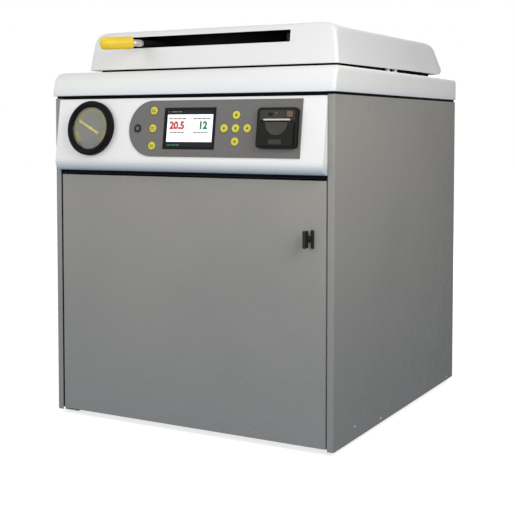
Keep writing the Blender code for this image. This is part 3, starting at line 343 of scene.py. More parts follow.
# look: colour, strength of the glow
LIT = {
    "screen": ((0.86, 0.88, 0.92), 0.55),
    "screen_dark": ((0.008, 0.011, 0.014), 0.1),
    "screen_red": ((0.5, 0.05, 0.038), 0.25),
    "screen_green": ((0.035, 0.2, 0.085), 0.25),
    "screen_grey": ((0.17, 0.165, 0.16), 0.12),
}
LOOKS = {
    "grey_paint": cabinet_paint("grey_paint_look", GREY_TOP, GREY_PAINTED_SHADE, DOOR_HIGH.z + 0.1, 0.25),
    "door_paint": cabinet_paint("door_paint_look", GREY_TOP, GREY_PAINTED_SHADE, DOOR_HIGH.z, 0.3),
    "white_shell": white_moulding("white_shell_look"),
    # the lid's white is a darker copy of the shell's: painted shade
    "white_lid_painted_shade": white_moulding("white_lid_look", (0.755, 0.757, 0.755)),
    # the hood's white carries painted shade along its lower edge
    "white_hood_painted_shade": white_moulding("white_hood_look", shade_span=(HOOD_LOW.z + 0.022, HOOD_LOW.z - 0.01)),
    # the fascia's white is lighter than the shell's, which is painted light on its sloped face, and its rolled
    # lower edge carries painted blue-grey shade
    "white_fascia_painted_light_and_shade": white_moulding("white_fascia_look", (0.845, 0.845, 0.835), shade_colour=(0.42, 0.5, 0.6),
                                   shade_span=(FASCIA_LOW.z + 0.026, FASCIA_LOW.z + 0.001)),
    "overlay_grey": printed_film("overlay_look"),
    "dial_grey": printed_film("dial_look", (0.165, 0.16, 0.148)),
    "grip_yellow": dipped_grip("grip_look"),
    "steel": brushed("steel_look"),
    "steel_round": turned("steel_round_look", (0.66, 0.65, 0.63), 0.28),
    "neck_steel": brushed("neck_steel_look", (0.72, 0.69, 0.68), 0.32, (0.05, 1, 1)),
    "frame_steel": plated("frame_steel_look"),
    "brass": brushed("brass_look", (0.66, 0.47, 0.17), 0.32, (1, 0.05, 1)),
    "glass": glassy("glass_look"),
    "paper": paper_look("paper_look"),
    "circuit_green": circuit("circuit_look"),
    "insulation": wool("insulation_look"),
    "rubber": rubbery("rubber_look"),
    "silicone": rubbery("silicone_look", (0.42, 0.13, 0.09)),
}
LOOKS.update({key: moulded(key + "_look", *values) for key, values in MOULDED.items()})
LOOKS.update({key: lit(key + "_look", *values) for key, values in LIT.items()})


# ---- shape helpers
def fillet(points, radius, steps=4, closed=False, corners=None):
    """Round the corners of an outline; corners limits which ones, by index."""
    count = len(points)
    out = []
    for i, point in enumerate(points):
        here = Vector(point)
        inner = closed or 0 < i < count - 1
        if not inner or (corners is not None and i not in corners):
            out.append(tuple(here))
            continue
        before = Vector(points[i - 1])
        after = Vector(points[(i + 1) % count])
        a, b = (before - here), (after - here)
        reach = min(radius, a.length * 0.49, b.length * 0.49)
        start = here + a.normalized() * reach
        end = here + b.normalized() * reach
        for k in range(steps + 1):
            t = k / steps
            out.append(tuple(start * (1 - t) ** 2 + here * 2 * t * (1 - t) + end * t ** 2))
    return out


def arc(centre, radius, start, end, steps):
    return [(centre[0] + radius * math.cos(start + (end - start) * i / steps),
             centre[1] + radius * math.sin(start + (end - start) * i / steps)) for i in range(steps + 1)]


def outward(bm):
    bmesh.ops.recalc_face_normals(bm, faces=bm.faces)
    return bm


def quarter_turn(steps):
    """Even angles up to 90 degrees, without the first."""
    return [QUARTER * i / steps for i in range(1, steps + 1)]


def round_in(over, radius):
    """How far a rounded edge has turned in, at a height over the start of its curve."""
    part = max(0, over) / radius
    return radius * (1 - math.sqrt(max(0, 1 - part * part)))


def lathe(profile, segments=96, closed=True):
    """Turn a (radius, height) outline about Z. An open outline starts and ends on the axis."""
    bm = bmesh.new()
    verts = [bm.verts.new((r, 0, z)) for r, z in profile]
    edges = [bm.edges.new(pair) for pair in zip(verts, verts[1:])]
    if closed:
        edges.append(bm.edges.new((verts[-1], verts[0])))
    bmesh.ops.spin(bm, geom=verts + edges, cent=(0, 0, 0), axis=(0, 0, 1), angle=2 * math.pi,
                   steps=segments, use_duplicate=False)
    bmesh.ops.remove_doubles(bm, verts=bm.verts, dist=0.000005)
    bmesh.ops.dissolve_degenerate(bm, dist=0.000001, edges=bm.edges)
    return outward(bm)


def spun(profile, radius, steps, segments):
    """Turn an open outline about Z, with its corners rounded."""
    return lathe(fillet(profile, radius, steps), segments, False)


def prism(outline, low, high):
    """A flat plate with its outline in X and Y, from z low to z high."""
    bm = bmesh.new()
    face = bm.faces.new([bm.verts.new((x, y, low)) for x, y in outline])
    raised = bmesh.ops.extrude_face_region(bm, geom=[face])["geom"]
    upper = [part for part in raised if isinstance(part, bmesh.types.BMVert)]
    bmesh.ops.translate(bm, vec=(0, 0, high - low), verts=upper)
    return outward(bm)


def block(low, high):
    bm = bmesh.new()
    bmesh.ops.create_cube(bm, size=1)
    bmesh.ops.scale(bm, vec=Vector(high) - Vector(low), verts=bm.verts)
    bmesh.ops.translate(bm, vec=(Vector(high) + Vector(low)) / 2, verts=bm.verts)
    return bm


def rounded_box(low, high, radius, steps=4):
    """A box whose four edges along Z are round."""
    corners = [(low[0], low[1]), (high[0], low[1]), (high[0], high[1]), (low[0], high[1])]
    return prism(fillet(corners, radius, steps, True), low[2], high[2])


def bar(start, end, radius, segments=32):
    start, end = Vector(start), Vector(end)
    bm = bmesh.new()
    bmesh.ops.create_cone(bm, cap_ends=True, segments=segments, radius1=radius, radius2=radius,
                          depth=(end - start).length)
    turn = (end - start).to_track_quat("Z", "Y").to_matrix().to_4x4()
    bmesh.ops.transform(bm, matrix=Matrix.Translation((start + end) / 2) @ turn, verts=bm.verts)
    return bm


def rings(loops, capped=False):
    """Skin between closed loops that have the same number of points, capped or joined end to end."""
    bm = bmesh.new()
    rows = [[bm.verts.new(p) for p in loop] for loop in loops]
    pairs = list(zip(rows, rows[1:]))
    if not capped:
        pairs.append((rows[-1], rows[0]))
    for a, b in pairs:
        for i in range(len(a)):
            k = (i + 1) % len(a)
            bm.faces.new((a[i], a[k], b[k], b[i]))
    if capped:
        bm.faces.new(rows[0])
        bm.faces.new(rows[-1])
    return outward(bm)


def merged(*parts):
    """Several meshes in one."""
    bm = bmesh.new()
    for part in parts:
        mesh = bpy.data.meshes.new("part")
        part.to_mesh(mesh)
        part.free()
        bm.from_mesh(mesh)
        bpy.data.meshes.remove(mesh)
    return bm


def moved(bm, matrix):
    bmesh.ops.transform(bm, matrix=matrix, verts=bm.verts)
    return bm


def linked(name, data):
    obj = bpy.data.objects.new(name, data)
    bpy.context.scene.collection.objects.link(obj)
    return obj


def result_mesh(obj):
    """The object's mesh with its modifiers applied."""
    bpy.context.view_layer.update()
    return bpy.data.meshes.new_from_object(obj.evaluated_get(bpy.context.evaluated_depsgraph_get()))


def raw_object(name, bm, matrix=None):
    mesh = bpy.data.meshes.new(name)
    bm.to_mesh(mesh)
    bm.free()
    obj = linked(name, mesh)
    if matrix is not None:
        obj.matrix_world = matrix
    return obj


def carve(obj, cutters, operation="DIFFERENCE"):
    """Cut shapes from an object, or join them to it, and keep only the result."""
    tools = [raw_object("cutter", bm, obj.matrix_world.copy()) for bm in cutters]
    for tool in tools:
        modifier = obj.modifiers.new("carve", "BOOLEAN")
        modifier.operation = operation
        modifier.solver = "EXACT"
        modifier.object = tool
    mesh = result_mesh(obj)
    obj.modifiers.clear()
    obj.data = mesh
    for tool in tools:
        bpy.data.objects.remove(tool, do_unlink=True)
    return obj


def soften(obj, width, segments, angle, harden=False):
    """Round the edges that are sharper than an angle."""
    bevel = obj.modifiers.new("edge", "BEVEL")
    bevel.width = width
    bevel.segments = segments
    bevel.limit_method = "ANGLE"
    bevel.angle_limit = math.radians(angle)
    bevel.harden_normals = harden


def finish_piece(obj, body, look, replaces=None, edge=0, angle=SMOOTH_ANGLE):
    """Give a piece its material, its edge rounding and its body."""
    obj.data.materials.clear()
    obj.data.materials.append(LOOKS[look])
    if edge:
        soften(obj, edge, 3, angle)
    obj.data.shade_smooth()
    obj.data.set_sharp_from_angle(angle=math.radians(angle))
    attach(obj, body)
    if replaces:
        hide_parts(replaces)
    return obj


def piece(name, bm, body, look, replaces=None, edge=0, matrix=None, cuts=(), joins=(),
          angle=SMOOTH_ANGLE):
    obj = raw_object(name, bm, matrix)
    if joins:
        carve(obj, joins, "UNION")
    if cuts:
        carve(obj, cuts)
    return finish_piece(obj, body, look, replaces, edge, angle)


def fascia_piece(name, bm, look, replaces=None, edge=0, matrix=FACE, cuts=(), joins=()):
    """A piece that is fixed to the face of the fascia."""
    return piece(name, bm, "cabinet", look, replaces, edge, matrix, cuts, joins)


# ---- camera, light and floor
CAMERA_PLACE = (1.13595, -2.12134, 0.61946)
CAMERA_YAW = math.radians(28.967)
CAMERA_PITCH = math.radians(3)
CAMERA_LENS = 73.017
CAMERA_SHIFT = (0.008578, -0.144607)
CAMERA_SENSOR = 36
CAMERA_REACH = 60


def build_camera():
    camera = linked("camera", bpy.data.cameras.new("camera"))
    camera.location = CAMERA_PLACE
    camera.rotation_euler = (QUARTER - CAMERA_PITCH, 0, CAMERA_YAW)
    camera.data.lens = CAMERA_LENS
    camera.data.sensor_width = CAMERA_SENSOR
    camera.data.shift_x, camera.data.shift_y = CAMERA_SHIFT
    camera.data.clip_end = CAMERA_REACH
    bpy.context.scene.camera = camera


def area_light(name, place, target, size, power):
    light = bpy.data.lights.new(name, "AREA")
    light.shape = "RECTANGLE"
    light.size, light.size_y = size
    light.energy = power
    light.color = LAMP_COLOUR
    obj = linked(name, light)
    obj.location = place
    obj.rotation_euler = (Vector(target) - Vector(place)).to_track_quat("-Z", "Y").to_euler()


# name: place, aim, width and height, power in watts
LIGHTS = {
    "key": ((-2.2, -2.8, 1.9), (0, -0.3, 0.45), (1.8, 1.6), 13),
    "front": ((0.3, -3.4, 1.2), (0, -0.3, 0.45), (1.8, 1.6), 8),
    "side": ((1.35, -0.85, 1.35), (0.33, -0.3, 0.5), (0.7, 0.7), 10.5),
    "rear": ((-0.9, 3.4, 1.7), (0, 0.35, 0.45), (1.8, 1.6), 22),
    "side_far": ((2.6, -1.6, 1.2), (0.33, -0.1, 0.5), (1.2, 1.2), 15),
}
LAMP_COLOUR = (1, 0.99, 0.975)
WHITE = (1, 1, 1, 1)
SKY_COLOUR = (0.97, 0.985, 1, 1)
BRIGHT_SIDE = Vector((-0.75, -0.55, 0.3)).normalized()
WORLD_LIGHT = 0.31
WORLD_LEFT = 0.55
FLOOR_GLOW = 0.7
FLOOR_RADIUS = 14


def build_world():
    """A white backdrop that lights the object more softly than it shows."""
    world = bpy.data.worlds.new("studio")
    bpy.context.scene.world = world
    world.use_nodes = True
    tree = world.node_tree
    seen = tree.nodes["Background"]
    feed(seen.inputs["Color"], WHITE)
    feed(seen.inputs["Strength"], 1)
    place = add_node(tree, "ShaderNodeTexCoord").outputs["Generated"]
    towards = add_node(tree, "ShaderNodeVectorMath", {0: place, 1: BRIGHT_SIDE}, operation="DOT_PRODUCT")
    values = {"Value": towards.outputs["Value"], "From Min": -0.6, "From Max": 1,
              "To Min": WORLD_LIGHT, "To Max": WORLD_LIGHT + WORLD_LEFT}
    strength = add_node(tree, "ShaderNodeMapRange", values).outputs["Result"]
    lighting = add_node(tree, "ShaderNodeBackground", {"Color": SKY_COLOUR, "Strength": strength})
    ray = add_node(tree, "ShaderNodeLightPath").outputs["Is Camera Ray"]
    mix = add_node(tree, "ShaderNodeMixShader", {"Fac": ray, 1: lighting.outputs["Background"],
                                                 2: seen.outputs["Background"]})
    feed(tree.nodes["World Output"].inputs["Surface"], mix.outputs["Shader"])


def build_studio():
    bpy.context.scene.view_settings.view_transform = "Standard"
    build_world()
    for name, values in LIGHTS.items():
        area_light(name, *values)
    floor = raw_object("floor", prism(arc((0, 0), FLOOR_RADIUS, 0, 2 * math.pi, 64)[:-1], -0.02, 0))
    look = Look("floor_look", (0.55, 0.55, 0.55), 0.9)
    look.drift(0.01, 0.5).grain(40, 0.0001)
    look.set(Emission_Color=WHITE, Emission_Strength=FLOOR_GLOW)
    floor.data.materials.append(look.done())
    floor.visible_diffuse = False
    floor.visible_glossy = False


# ---- CAD nodes that stay
def smoothing_group():
    """Merge the split corners of an imported mesh and shade it smooth, up to an angle."""
    group = bpy.data.node_groups.new("smooth_round_faces", "GeometryNodeTree")
    for way in ("INPUT", "OUTPUT"):
        group.interface.new_socket("Geometry", in_out=way, socket_type="NodeSocketGeometry")
    start = add_node(group, "NodeGroupInput").outputs[0]
    values = {"Geometry": start, "Distance": WELD_DISTANCE}
    weld = add_node(group, "GeometryNodeMergeByDistance", values).outputs["Geometry"]
    smooth = add_node(group, "GeometryNodeSetShadeSmooth", {"Geometry": weld}, domain="FACE")
    angle = add_node(group, "GeometryNodeInputMeshEdgeAngle").outputs["Unsigned Angle"]
    over = add_node(group, "FunctionNodeCompare", {0: angle, 1: math.radians(SMOOTH_ANGLE)},
                    data_type="FLOAT", operation="GREATER_THAN").outputs["Result"]
    values = {"Geometry": smooth.outputs["Geometry"], "Selection": over, "Shade Smooth": False}
    sharp = add_node(group, "GeometryNodeSetShadeSmooth", values, domain="EDGE")
    add_node(group, "NodeGroupOutput", {0: sharp.outputs["Geometry"]})
    return group


WELD_DISTANCE = 0.00001
SMOOTH = smoothing_group()


def keep_node(name, look, edge):
    """Give a CAD node its material, smooth shading and, where it shows, softened edges."""
    obj = frame["nodes"][name]
    obj.data.materials.clear()
    obj.data.materials.append(LOOKS[look])
    obj.modifiers.new("smooth", "NODES").node_group = SMOOTH
    if edge:
        soften(obj, edge, 2, 40, True)


# look and width of the edge rounding: CAD nodes
KEPT = {
    ("grey_paint", 0.0005): "side_panel_left side_panel_right",
    ("grey_paint", 0.0003): "rear_panel",
    ("door_paint", 0.0006): "front_door",
    # the fascia backing is painted shade, the dark of the gaps round the fascia
    ("dark_sheet", 0): "fascia_backing",
    # the shutter's black matt is partly painted shade inside the lever's slot
    ("black_matt", 0.0003): "slot_shutter",
    ("black_plastic", 0.0003): "door_hinge_rod fan_rotor",
    ("black_plastic", 0.0006): "mains_inlet",
    ("frame_steel", 0.0003): "base_tray",
    ("frame_steel", 0.0004): "lid_hinge_bracket",
    ("frame_steel", 0.0006): "lid_hinge_arm",
    ("frame_steel", 0.001): "chassis_frame",
    ("steel", 0): "heater_element",
    ("steel", 0.0004): "latch_striker load_plate",
    ("steel", 0.0005): "latch_cam",
    ("steel", 0.0006): "lid_hinge_pin",
    ("steel_round", 0): "pressure_vessel",
    ("steel_round", 0.0006): "vessel_neck_ring lid_plate locking_ring",
    ("brass", 0.0004): "exhaust_outlet",
    ("brass", 0.0005): "safety_valve",
    ("brass", 0.0006): "drain_valve_body",
    ("red_plastic", 0.0008): "drain_valve_handle",
    ("rubber", 0.0006): "foot_front_left foot_front_right foot_rear_left foot_rear_right",
    ("silicone", 0.0008): "lid_gasket",
    ("insulation", 0.003): "insulation_jacket",
    ("circuit_green", 0.0002): "controller_board",
    ("paper", 0.0003): "printer_paper_roll",
}


# ---- white covers
def rounded_loop(half_x, front, rear, radius, z, side_steps=14, corner_steps=8):
    """A rounded rectangle seen from above, as evenly numbered points."""
    corners = ((half_x - radius, rear - radius, 0), (-half_x + radius, rear - radius, 0.5),
               (-half_x + radius, front + radius, 1), (half_x - radius, front + radius, 1.5))
    turns = [arc((x, y), radius, a * math.pi, (a + 0.5) * math.pi, corner_steps) for x, y, a in corners]
    points = []
    for i, turn in enumerate(turns):
        points += turn
        nxt = turns[(i + 1) % 4][0]
        for k in range(1, side_steps):
            t = k / side_steps
            points.append((turn[-1][0] * (1 - t) + nxt[0] * t, turn[-1][1] * (1 - t) + nxt[1] * t))
    return [(x, y, z) for x, y in points]


def round_mouth(loop, radius, z):
    """The points of a loop, pulled in to a circle about the vessel's axis."""
    out = []
    for x, y, _ in loop:
        away = Vector((x - VESSEL_CENTRE.x, y - VESSEL_CENTRE.y))
        away.normalize()
        out.append((VESSEL_CENTRE.x + away.x * radius, VESSEL_CENTRE.y + away.y * radius, z))
    return out


def build_hood():
    """The hood: turned-in hem, leaning front, rounded shoulder, and a rolled mouth for the vessel."""
    half, front, rear = HOOD_HIGH.x, HOOD_LOW.y, HOOD_HIGH.y
    bottom, top = HOOD_LOW.z, HOOD_HIGH.z
    lean, corner_r, side_r, front_r, thick = 0.011, 0.008, 0.01, 0.02, 0.003
    steps, apart, mouth_inset = 14, 0.00001, 0.0085

    def level(z, inset=0, front_inset=None):
        up = (z - bottom) / (top - bottom)
        front_y = front + lean * up + (inset if front_inset is None else front_inset)
        return rounded_loop(half - inset, front_y, rear - inset, corner_r, z)

    hem = ((0.001, 0.012), (0, 0.0115), (0, 0.0015), (0.0004, 0.0004), (0.0015, 0), (0.008, 0))
    loops = [level(bottom + rise, inset) for rise, inset in hem]
    for i in range(steps + 1):
        z = top - front_r + front_r * math.sin(QUARTER * i / steps)
        insets = [round_in(z - (top - radius), radius) for radius in (side_r, front_r)]
        loops.append(level(z - apart * (steps - i), *insets))
    loops.append(level(top, side_r + 0.01, front_r + 0.006))
    loops.append(level(top, side_r + 0.04, front_r + 0.03))
    mouth = NECK_HIGH.x - VESSEL_CENTRE.x - mouth_inset
    roll = ((0.016, 0), (0.008, 0), (0.004, 0.0006), (0.0012, 0.0024), (0, 0.006), (0, 0.012),
            (0.002, 0.012), (0.006, thick + 0.0006))
    for extra, drop in roll:
        loops.append(round_mouth(loops[-1], mouth + extra, top - drop))
    loops.append(level(top - thick, side_r + 0.01, front_r + 0.004))
    for z, inset in ((top - thick - 0.018, thick), (bottom + 0.003, thick), (bottom + 0.003, 0.012)):
        loops.append(level(z, inset))
    piece("hood_shell", rings(loops), "cabinet", "white_hood_painted_shade", "hood", angle=40)


def build_hood_gasket():
    """A black ring under the hood's hem, where it sits down on the side and rear panels: painted shadow of the
    gap there.
    """
    half, front, rear, wall, corner_r = 0.3288, -0.3515, 0.35, 0.0033, 0.006
    low, high = HOOD_LOW.z - 0.0048, HOOD_LOW.z - 0.0002
    profile = ((0, low), (0, high - 0.001), (0.0008, high), (wall - 0.0008, high),
               (wall, high - 0.001), (wall, low))
    loops = [rounded_loop(half - inset, front + inset, rear - inset, corner_r, z) for inset, z in profile]
    piece("hood_shadow_ring", rings(loops), "cabinet", "black_matt")


HEM_DROP = 0.003
COVER_BOTTOM = COVER_LOW.z + HEM_DROP
SLOT_HALF = 0.193
SLOT_LOW, SLOT_HIGH = COVER_BOTTOM + 0.042, COVER_BOTTOM + 0.066


def cover_mesh():
    """The cover's skin: drafted walls, large rounded sides, and a long rounded rear."""
    low, high, bottom, top = COVER_LOW, COVER_HIGH, COVER_BOTTOM, COVER_HIGH.z
    draft = math.tan(math.radians(8))
    side_r, lip, thick = 0.025, 0.011, 0.003
    fall_start, fall_length, fall_height = 0.15, 0.4, 0.02
    shoulder = top - side_r
    rear = ((0, 0.03), (0.0012, 0.02), (0.004, 0.009), (0.0075, 0.0025), (0.0115, 0), (0.0165, 0.0022),
            (0.056, 0.035), (0.065, 0.0445), (0.072, 0.056), (0.0765, 0.069), (top - bottom, 0.084))
    rear = [(bottom + rise, high.y - back) for rise, back in rear]

    def half_at(z):
        return high.x - (min(z, shoulder) - bottom) * draft - round_in(z - shoulder, side_r)

    def front_at(z):
        return low.y + (z - bottom) * draft + round_in(z - (top - lip), lip)

    def rear_at(z):
        for (z0, y0), (z1, y1) in zip(rear, rear[1:]):
            if z <= z1:
                return y0 + (y1 - y0) * (z - z0) / (z1 - z0)
        return rear[-1][1]

    def level(z, inset=0, drop=0):
        radius = 0.009 + 0.008 * max(0, (z - shoulder) / side_r)
        half, front, back = half_at(z) - inset, front_at(z) + inset, rear_at(z) - inset
        loop = rounded_loop(half, front, back, radius, z - drop, 18, 8)
        low_part = max(0, 1 - (z - bottom) / fall_height)
        ahead = [max(0, min(1, (fall_start - y) / fall_length)) for _, y, _ in loop]
        return [(x, y, h - HEM_DROP * low_part * t) for (x, y, h), t in zip(loop, ahead)]

    def crown(shrink, rise):
        return [(x * shrink, middle + (y - middle) * shrink, top + rise) for x, y, _ in rim]

    rises = (0.0012, 0.0025, 0.004, 0.0057, 0.0075, 0.0095, 0.0115, 0.014, 0.0165, 0.025, 0.035, 0.045)
    walls = [bottom + rise for rise in rises] + [shoulder]
    curve = [(shoulder + side_r * math.sin(a) - 0.00002, a) for a in quarter_turn(14)]
    rim = level(curve[-1][0])
    middle = (front_at(top) + rear_at(top - 0.001)) / 2
    crowns = ((0.93, 0.0006), (0.75, 0.001), (0.45, 0.0014), (0.15, 0.0016))
    outside = [level(bottom, 0.0006)] + [level(z) for z in walls] + [level(z) for z, _ in curve]
    outside += [crown(*pair) for pair in crowns]
    inside = [level(bottom, thick - 0.0006)] + [level(z, thick) for z in walls]
    inside += [level(z, thick * max(0.25, math.cos(a)), thick * math.sin(a)) for z, a in curve]
    inside += [crown(shrink, rise - thick) for shrink, rise in crowns]
    return rings(list(reversed(inside)) + outside, True)


def build_lid_cover():
    """The lid cover, with the lever's slot and a notch for the hinge, and its rest tabs."""
    obj = raw_object("lid_cover_shell", cover_mesh())
    slot = rounded_box((-SLOT_HALF, SLOT_LOW, -0.03), (SLOT_HALF, SLOT_HIGH, 0.04), 0.0012, 3)
    notch_half, notch_front, notch_top = 0.12, 0.27, COVER_BOTTOM + 0.0465
    notch = block((-notch_half, notch_front, COVER_BOTTOM - 0.02), (notch_half, COVER_HIGH.y + 0.02, notch_top))
    carve(obj, [moved(slot, at(0, COVER_LOW.y, 0) @ turn_by(90, "X")), notch])
    # the lid takes the darker copy of the white, which is painted shade
    finish_piece(obj, "lid", "white_lid_painted_shade", replaces="lid_cover", angle=40)

    half_x, half_y, low, high = 0.0035, 0.006, HOOD_HIGH.z + 0.0006, COVER_BOTTOM + 0.003
    tabs = [rounded_box((x - half_x, y - half_y, low), (x + half_x, y + half_y, high), 0.002)
            for x in (-0.2915, 0.2915) for y in (0.005, 0.047)]
    piece("lid_rest_tabs", merged(*tabs), "lid", "white_shell", edge=0.0005)


def build_lid_seal():
    """A black strip under the cover's rim, open at the rear where the hinge stands: painted shadow of the gap
    between lid and hood.
    """
    low, high = HOOD_HIGH.z, COVER_BOTTOM + 0.002
    outer = fillet([(0.283, 0.29), (0.283, -0.259), (-0.283, -0.259), (-0.283, 0.29)], 0.02, 8)
    inner = fillet([(0.275, 0.29), (0.275, -0.251), (-0.275, -0.251), (-0.275, 0.29)], 0.014, 8)
    strips = [prism(outer + list(reversed(inner)), low + 0.0015, high)]
    for x in (-0.201, 0.201):
        strips.append(rounded_box((x - 0.078, 0.284, low + 0.0022), (x + 0.078, 0.292, high), 0.002))
    piece("lid_shadow_strip", merged(*strips), "lid", "black_matt", edge=0.0006)


def build_slot_liner():
    """Black plates above and below the slot, reaching back to the lever's shutter: painted shade inside the
    slot.
    """
    reach, sheet, gap, steps = 0.2652, 0.0016, 0.0004, 24
    front, lower_ahead, upper_ahead = COVER_LOW.y, 0.0092, 0.0128
    end_half, end_over, past_slot = 0.001, 0.002, 0.003

    def back_at(x):
        return VESSEL_CENTRE.y - math.sqrt(reach * reach - x * x)

    edge_x = SLOT_HALF + 0.004
    row = [-edge_x + 2 * edge_x * i / steps for i in range(steps + 1)]
    back = [(x, back_at(x)) for x in row]
    plates = []
    for z, ahead in ((SLOT_LOW - gap - sheet, lower_ahead), (SLOT_HIGH + gap, upper_ahead)):
        outline = [(row[-1], front + ahead), (row[0], front + ahead)] + back
        plates.append(prism(outline, z, z + sheet))
    for x in (-SLOT_HALF - past_slot, SLOT_HALF + past_slot):
        plates.append(block((x - end_half, front + upper_ahead, SLOT_LOW - end_over),
                            (x + end_half, back_at(x), SLOT_HIGH + end_over)))
    piece("lever_slot_shade_plates", merged(*plates), "lid", "black_matt")


def build_fascia():
    """The fascia: sloping face, rolled lower edge, closed ends, and openings behind the controls."""
    roll, thick = 0.018, 0.003
    low, high = FASCIA_LOW, FASCIA_HIGH
    centre = (low.y + roll, low.z + roll)

    def outline(inset):
        under = arc(centre, roll - inset, math.pi - SLOPE, 1.5 * math.pi, 16)
        top = high.z - inset
        face_y = under[0][0] + (top - under[0][1]) * math.tan(SLOPE)
        back = high.y + (0.02 if inset else 0)
        shape = [(back, top), (face_y, top)] + under + [(back, under[-1][1])]
        return shape if inset else fillet(shape, 0.0015, 3, True, (1,))

    across = Matrix(((0, 0, 1, 0), (1, 0, 0, 0), (0, 1, 0, 0), (0, 0, 0, 1)))
    inside = moved(prism(outline(thick), low.x + thick, high.x - thick), across)
    openings = [bar((GAUGE_CENTRE.x, 0, -0.03), (GAUGE_CENTRE.x, 0, 0.03), 0.0515, 64),
                block((-0.08, -0.05, -0.02), (0.162, 0.05, 0.02)),
                bar((-0.1055, 0, -0.02), (-0.1055, 0, 0.02), 0.0042, 24),
                block((0.179, -0.0355, -0.03), (0.258, 0.0355, 0.03))]
    cuts = [inside] + [moved(opening, FACE) for opening in openings]
    piece("fascia_moulding", moved(prism(outline(0), low.x, high.x), across), "cabinet", "white_fascia_painted_light_and_shade",
          "fascia_panel", edge=0.0006, cuts=cuts, angle=40)


# ---- controls
OVERLAY = (-0.127, 0.267, 0.057)
KEY_R = 0.0085
KEYS = {"key_power": (-0.1055, 0), "key_left_top": (-0.068, 0.036), "key_left_middle": (-0.068, 0),
        "key_left_bottom": (-0.068, -0.0355), "key_centre": (0.125, 0), "key_up": (0.125, 0.026),
        "key_down": (0.125, -0.026), "key_left": (0.099, 0), "key_right": (0.151, 0)}


def build_overlay():
    left, right, half = OVERLAY
    outline = arc((left + half, 0), half, QUARTER, 1.5 * math.pi, 48) + [(right, -half), (right, half)]
    cuts = [block((-0.042, -0.042, -0.01), (0.079, 0.042, 0.01)),
            rounded_box((0.1752, -0.0393, -0.01), (0.2618, 0.0393, 0.01), 0.006)]
    cuts += [bar((u, v, -0.01), (u, v, 0.01), KEY_R + 0.0005, 40) for u, v in KEYS.values()]
    film = prism(outline, FIT, FIT + 0.0015)
    fascia_piece("overlay_film", film, "overlay_grey", replaces="control_overlay", edge=0.00025, cuts=cuts)
    inner, outer, low, high = KEY_R + 0.0006, KEY_R + 0.0013, 0.0017, 0.0021
    rim = fillet([(inner, low), (inner, high), (outer, high), (outer, low)], 0.0002, 2, True)
    rims = [moved(lathe(rim, 48), at(u, v, 0)) for u, v in KEYS.values()]
    fascia_piece("key_rims", merged(*rims), "overlay_grey")


def build_keys():
    """Round keys. The five in the cross and the power key have a dark middle; the rest carry two bars."""
    for name, (u, v) in KEYS.items():
        power = name == "key_power"
        dark_middle = not name.startswith("key_left_")
        slot = "black_plastic" if power else "key_yellow"
        middle = 0.0027 if dark_middle else 0.0033
        profile = [(0, middle), (0.003, middle), (0.0042, 0.0034), (0.0062, 0.0034), (0.0078, 0.0031),
                   (KEY_R, 0.0024), (KEY_R, 0.0014), (0.003, 0.0014), (0.003, -0.0074), (0, -0.0074)]
        place = on_face(u, v)
        piece(name + "_cap", spun(profile, 0.0006, 3, 56), name, slot, name, matrix=place)
        if dark_middle:
            inner = "overlay_grey" if power else "key_dark"
            wide = 1.7 if power else 1
            spot = [(0, 0.0033), (0.0016 * wide, 0.0032), (0.0024 * wide, 0.0028), (0.0024 * wide, 0.0025),
                    (0, 0.0025)]
            piece(name + "_spot", spun(spot, 0.0003, 2, 32), name, inner, matrix=place)
        else:
            bars = [rounded_box((-0.0045, y - 0.0007, 0.0031), (0.0045, y + 0.0007, 0.0036), 0.0006)
                    for y in (-0.0016, 0.0016)]
            piece(name + "_mark", merged(*bars), name, "key_dark", matrix=place)


TEXT_DEPTH = 0.0001


def text_mesh(name, words, size, weight=0.012):
    """Plain figures as a mesh, centred."""
    curve = bpy.data.curves.new(name, "FONT")
    curve.body = words
    curve.size = size
    curve.extrude = TEXT_DEPTH / 2
    curve.align_x = "CENTER"
    curve.align_y = "CENTER"
    curve.resolution_u = 4
    curve.offset = size * weight
    guide = linked(name, curve)
    mesh = result_mesh(guide)
    bpy.data.objects.remove(guide, do_unlink=True)
    bm = bmesh.new()
    bm.from_mesh(mesh)
    bmesh.ops.remove_doubles(bm, verts=bm.verts, dist=0.000001)
    return outward(bm)


def bar_row(count, left, step, v, width, thick):
    return [(left + i * step, v, width, thick) for i in range(count)]


# name: look, then each bar's left end, middle height, width and thickness
LABEL_BARS = {
    "display_labels": ("screen_grey", bar_row(4, -0.0305, 0.0105, 0.0195, 0.0092, 0.0026)
                       + bar_row(4, 0.027, 0.0102, 0.0195, 0.0088, 0.0026)),
    "display_units_left": ("screen_grey", bar_row(4, -0.0265, 0.0085, -0.0085, 0.0073, 0.0024)),
    "display_units_right": ("screen_grey", bar_row(4, 0.029, 0.0085, -0.0085, 0.0073, 0.0024)),
    "display_top_line": ("screen_grey", [(-0.0325, 0.0335, 0.0022, 0.0022), (-0.0245, 0.0335, 0.013, 0.002),
                                         (-0.01, 0.0335, 0.009, 0.002)]),
    "display_foot_line": ("screen_green", bar_row(3, -0.0315, 0.01, -0.0335, 0.0085, 0.002)),
}


def bars_mesh(spots):
    """Small plain bars, where the display has words."""
    return merged(*[rounded_box((u, v - h / 2, 0.0016), (u + w, v + h / 2, 0.0017), 0.0002, 2)
                    for u, v, w, h in spots])


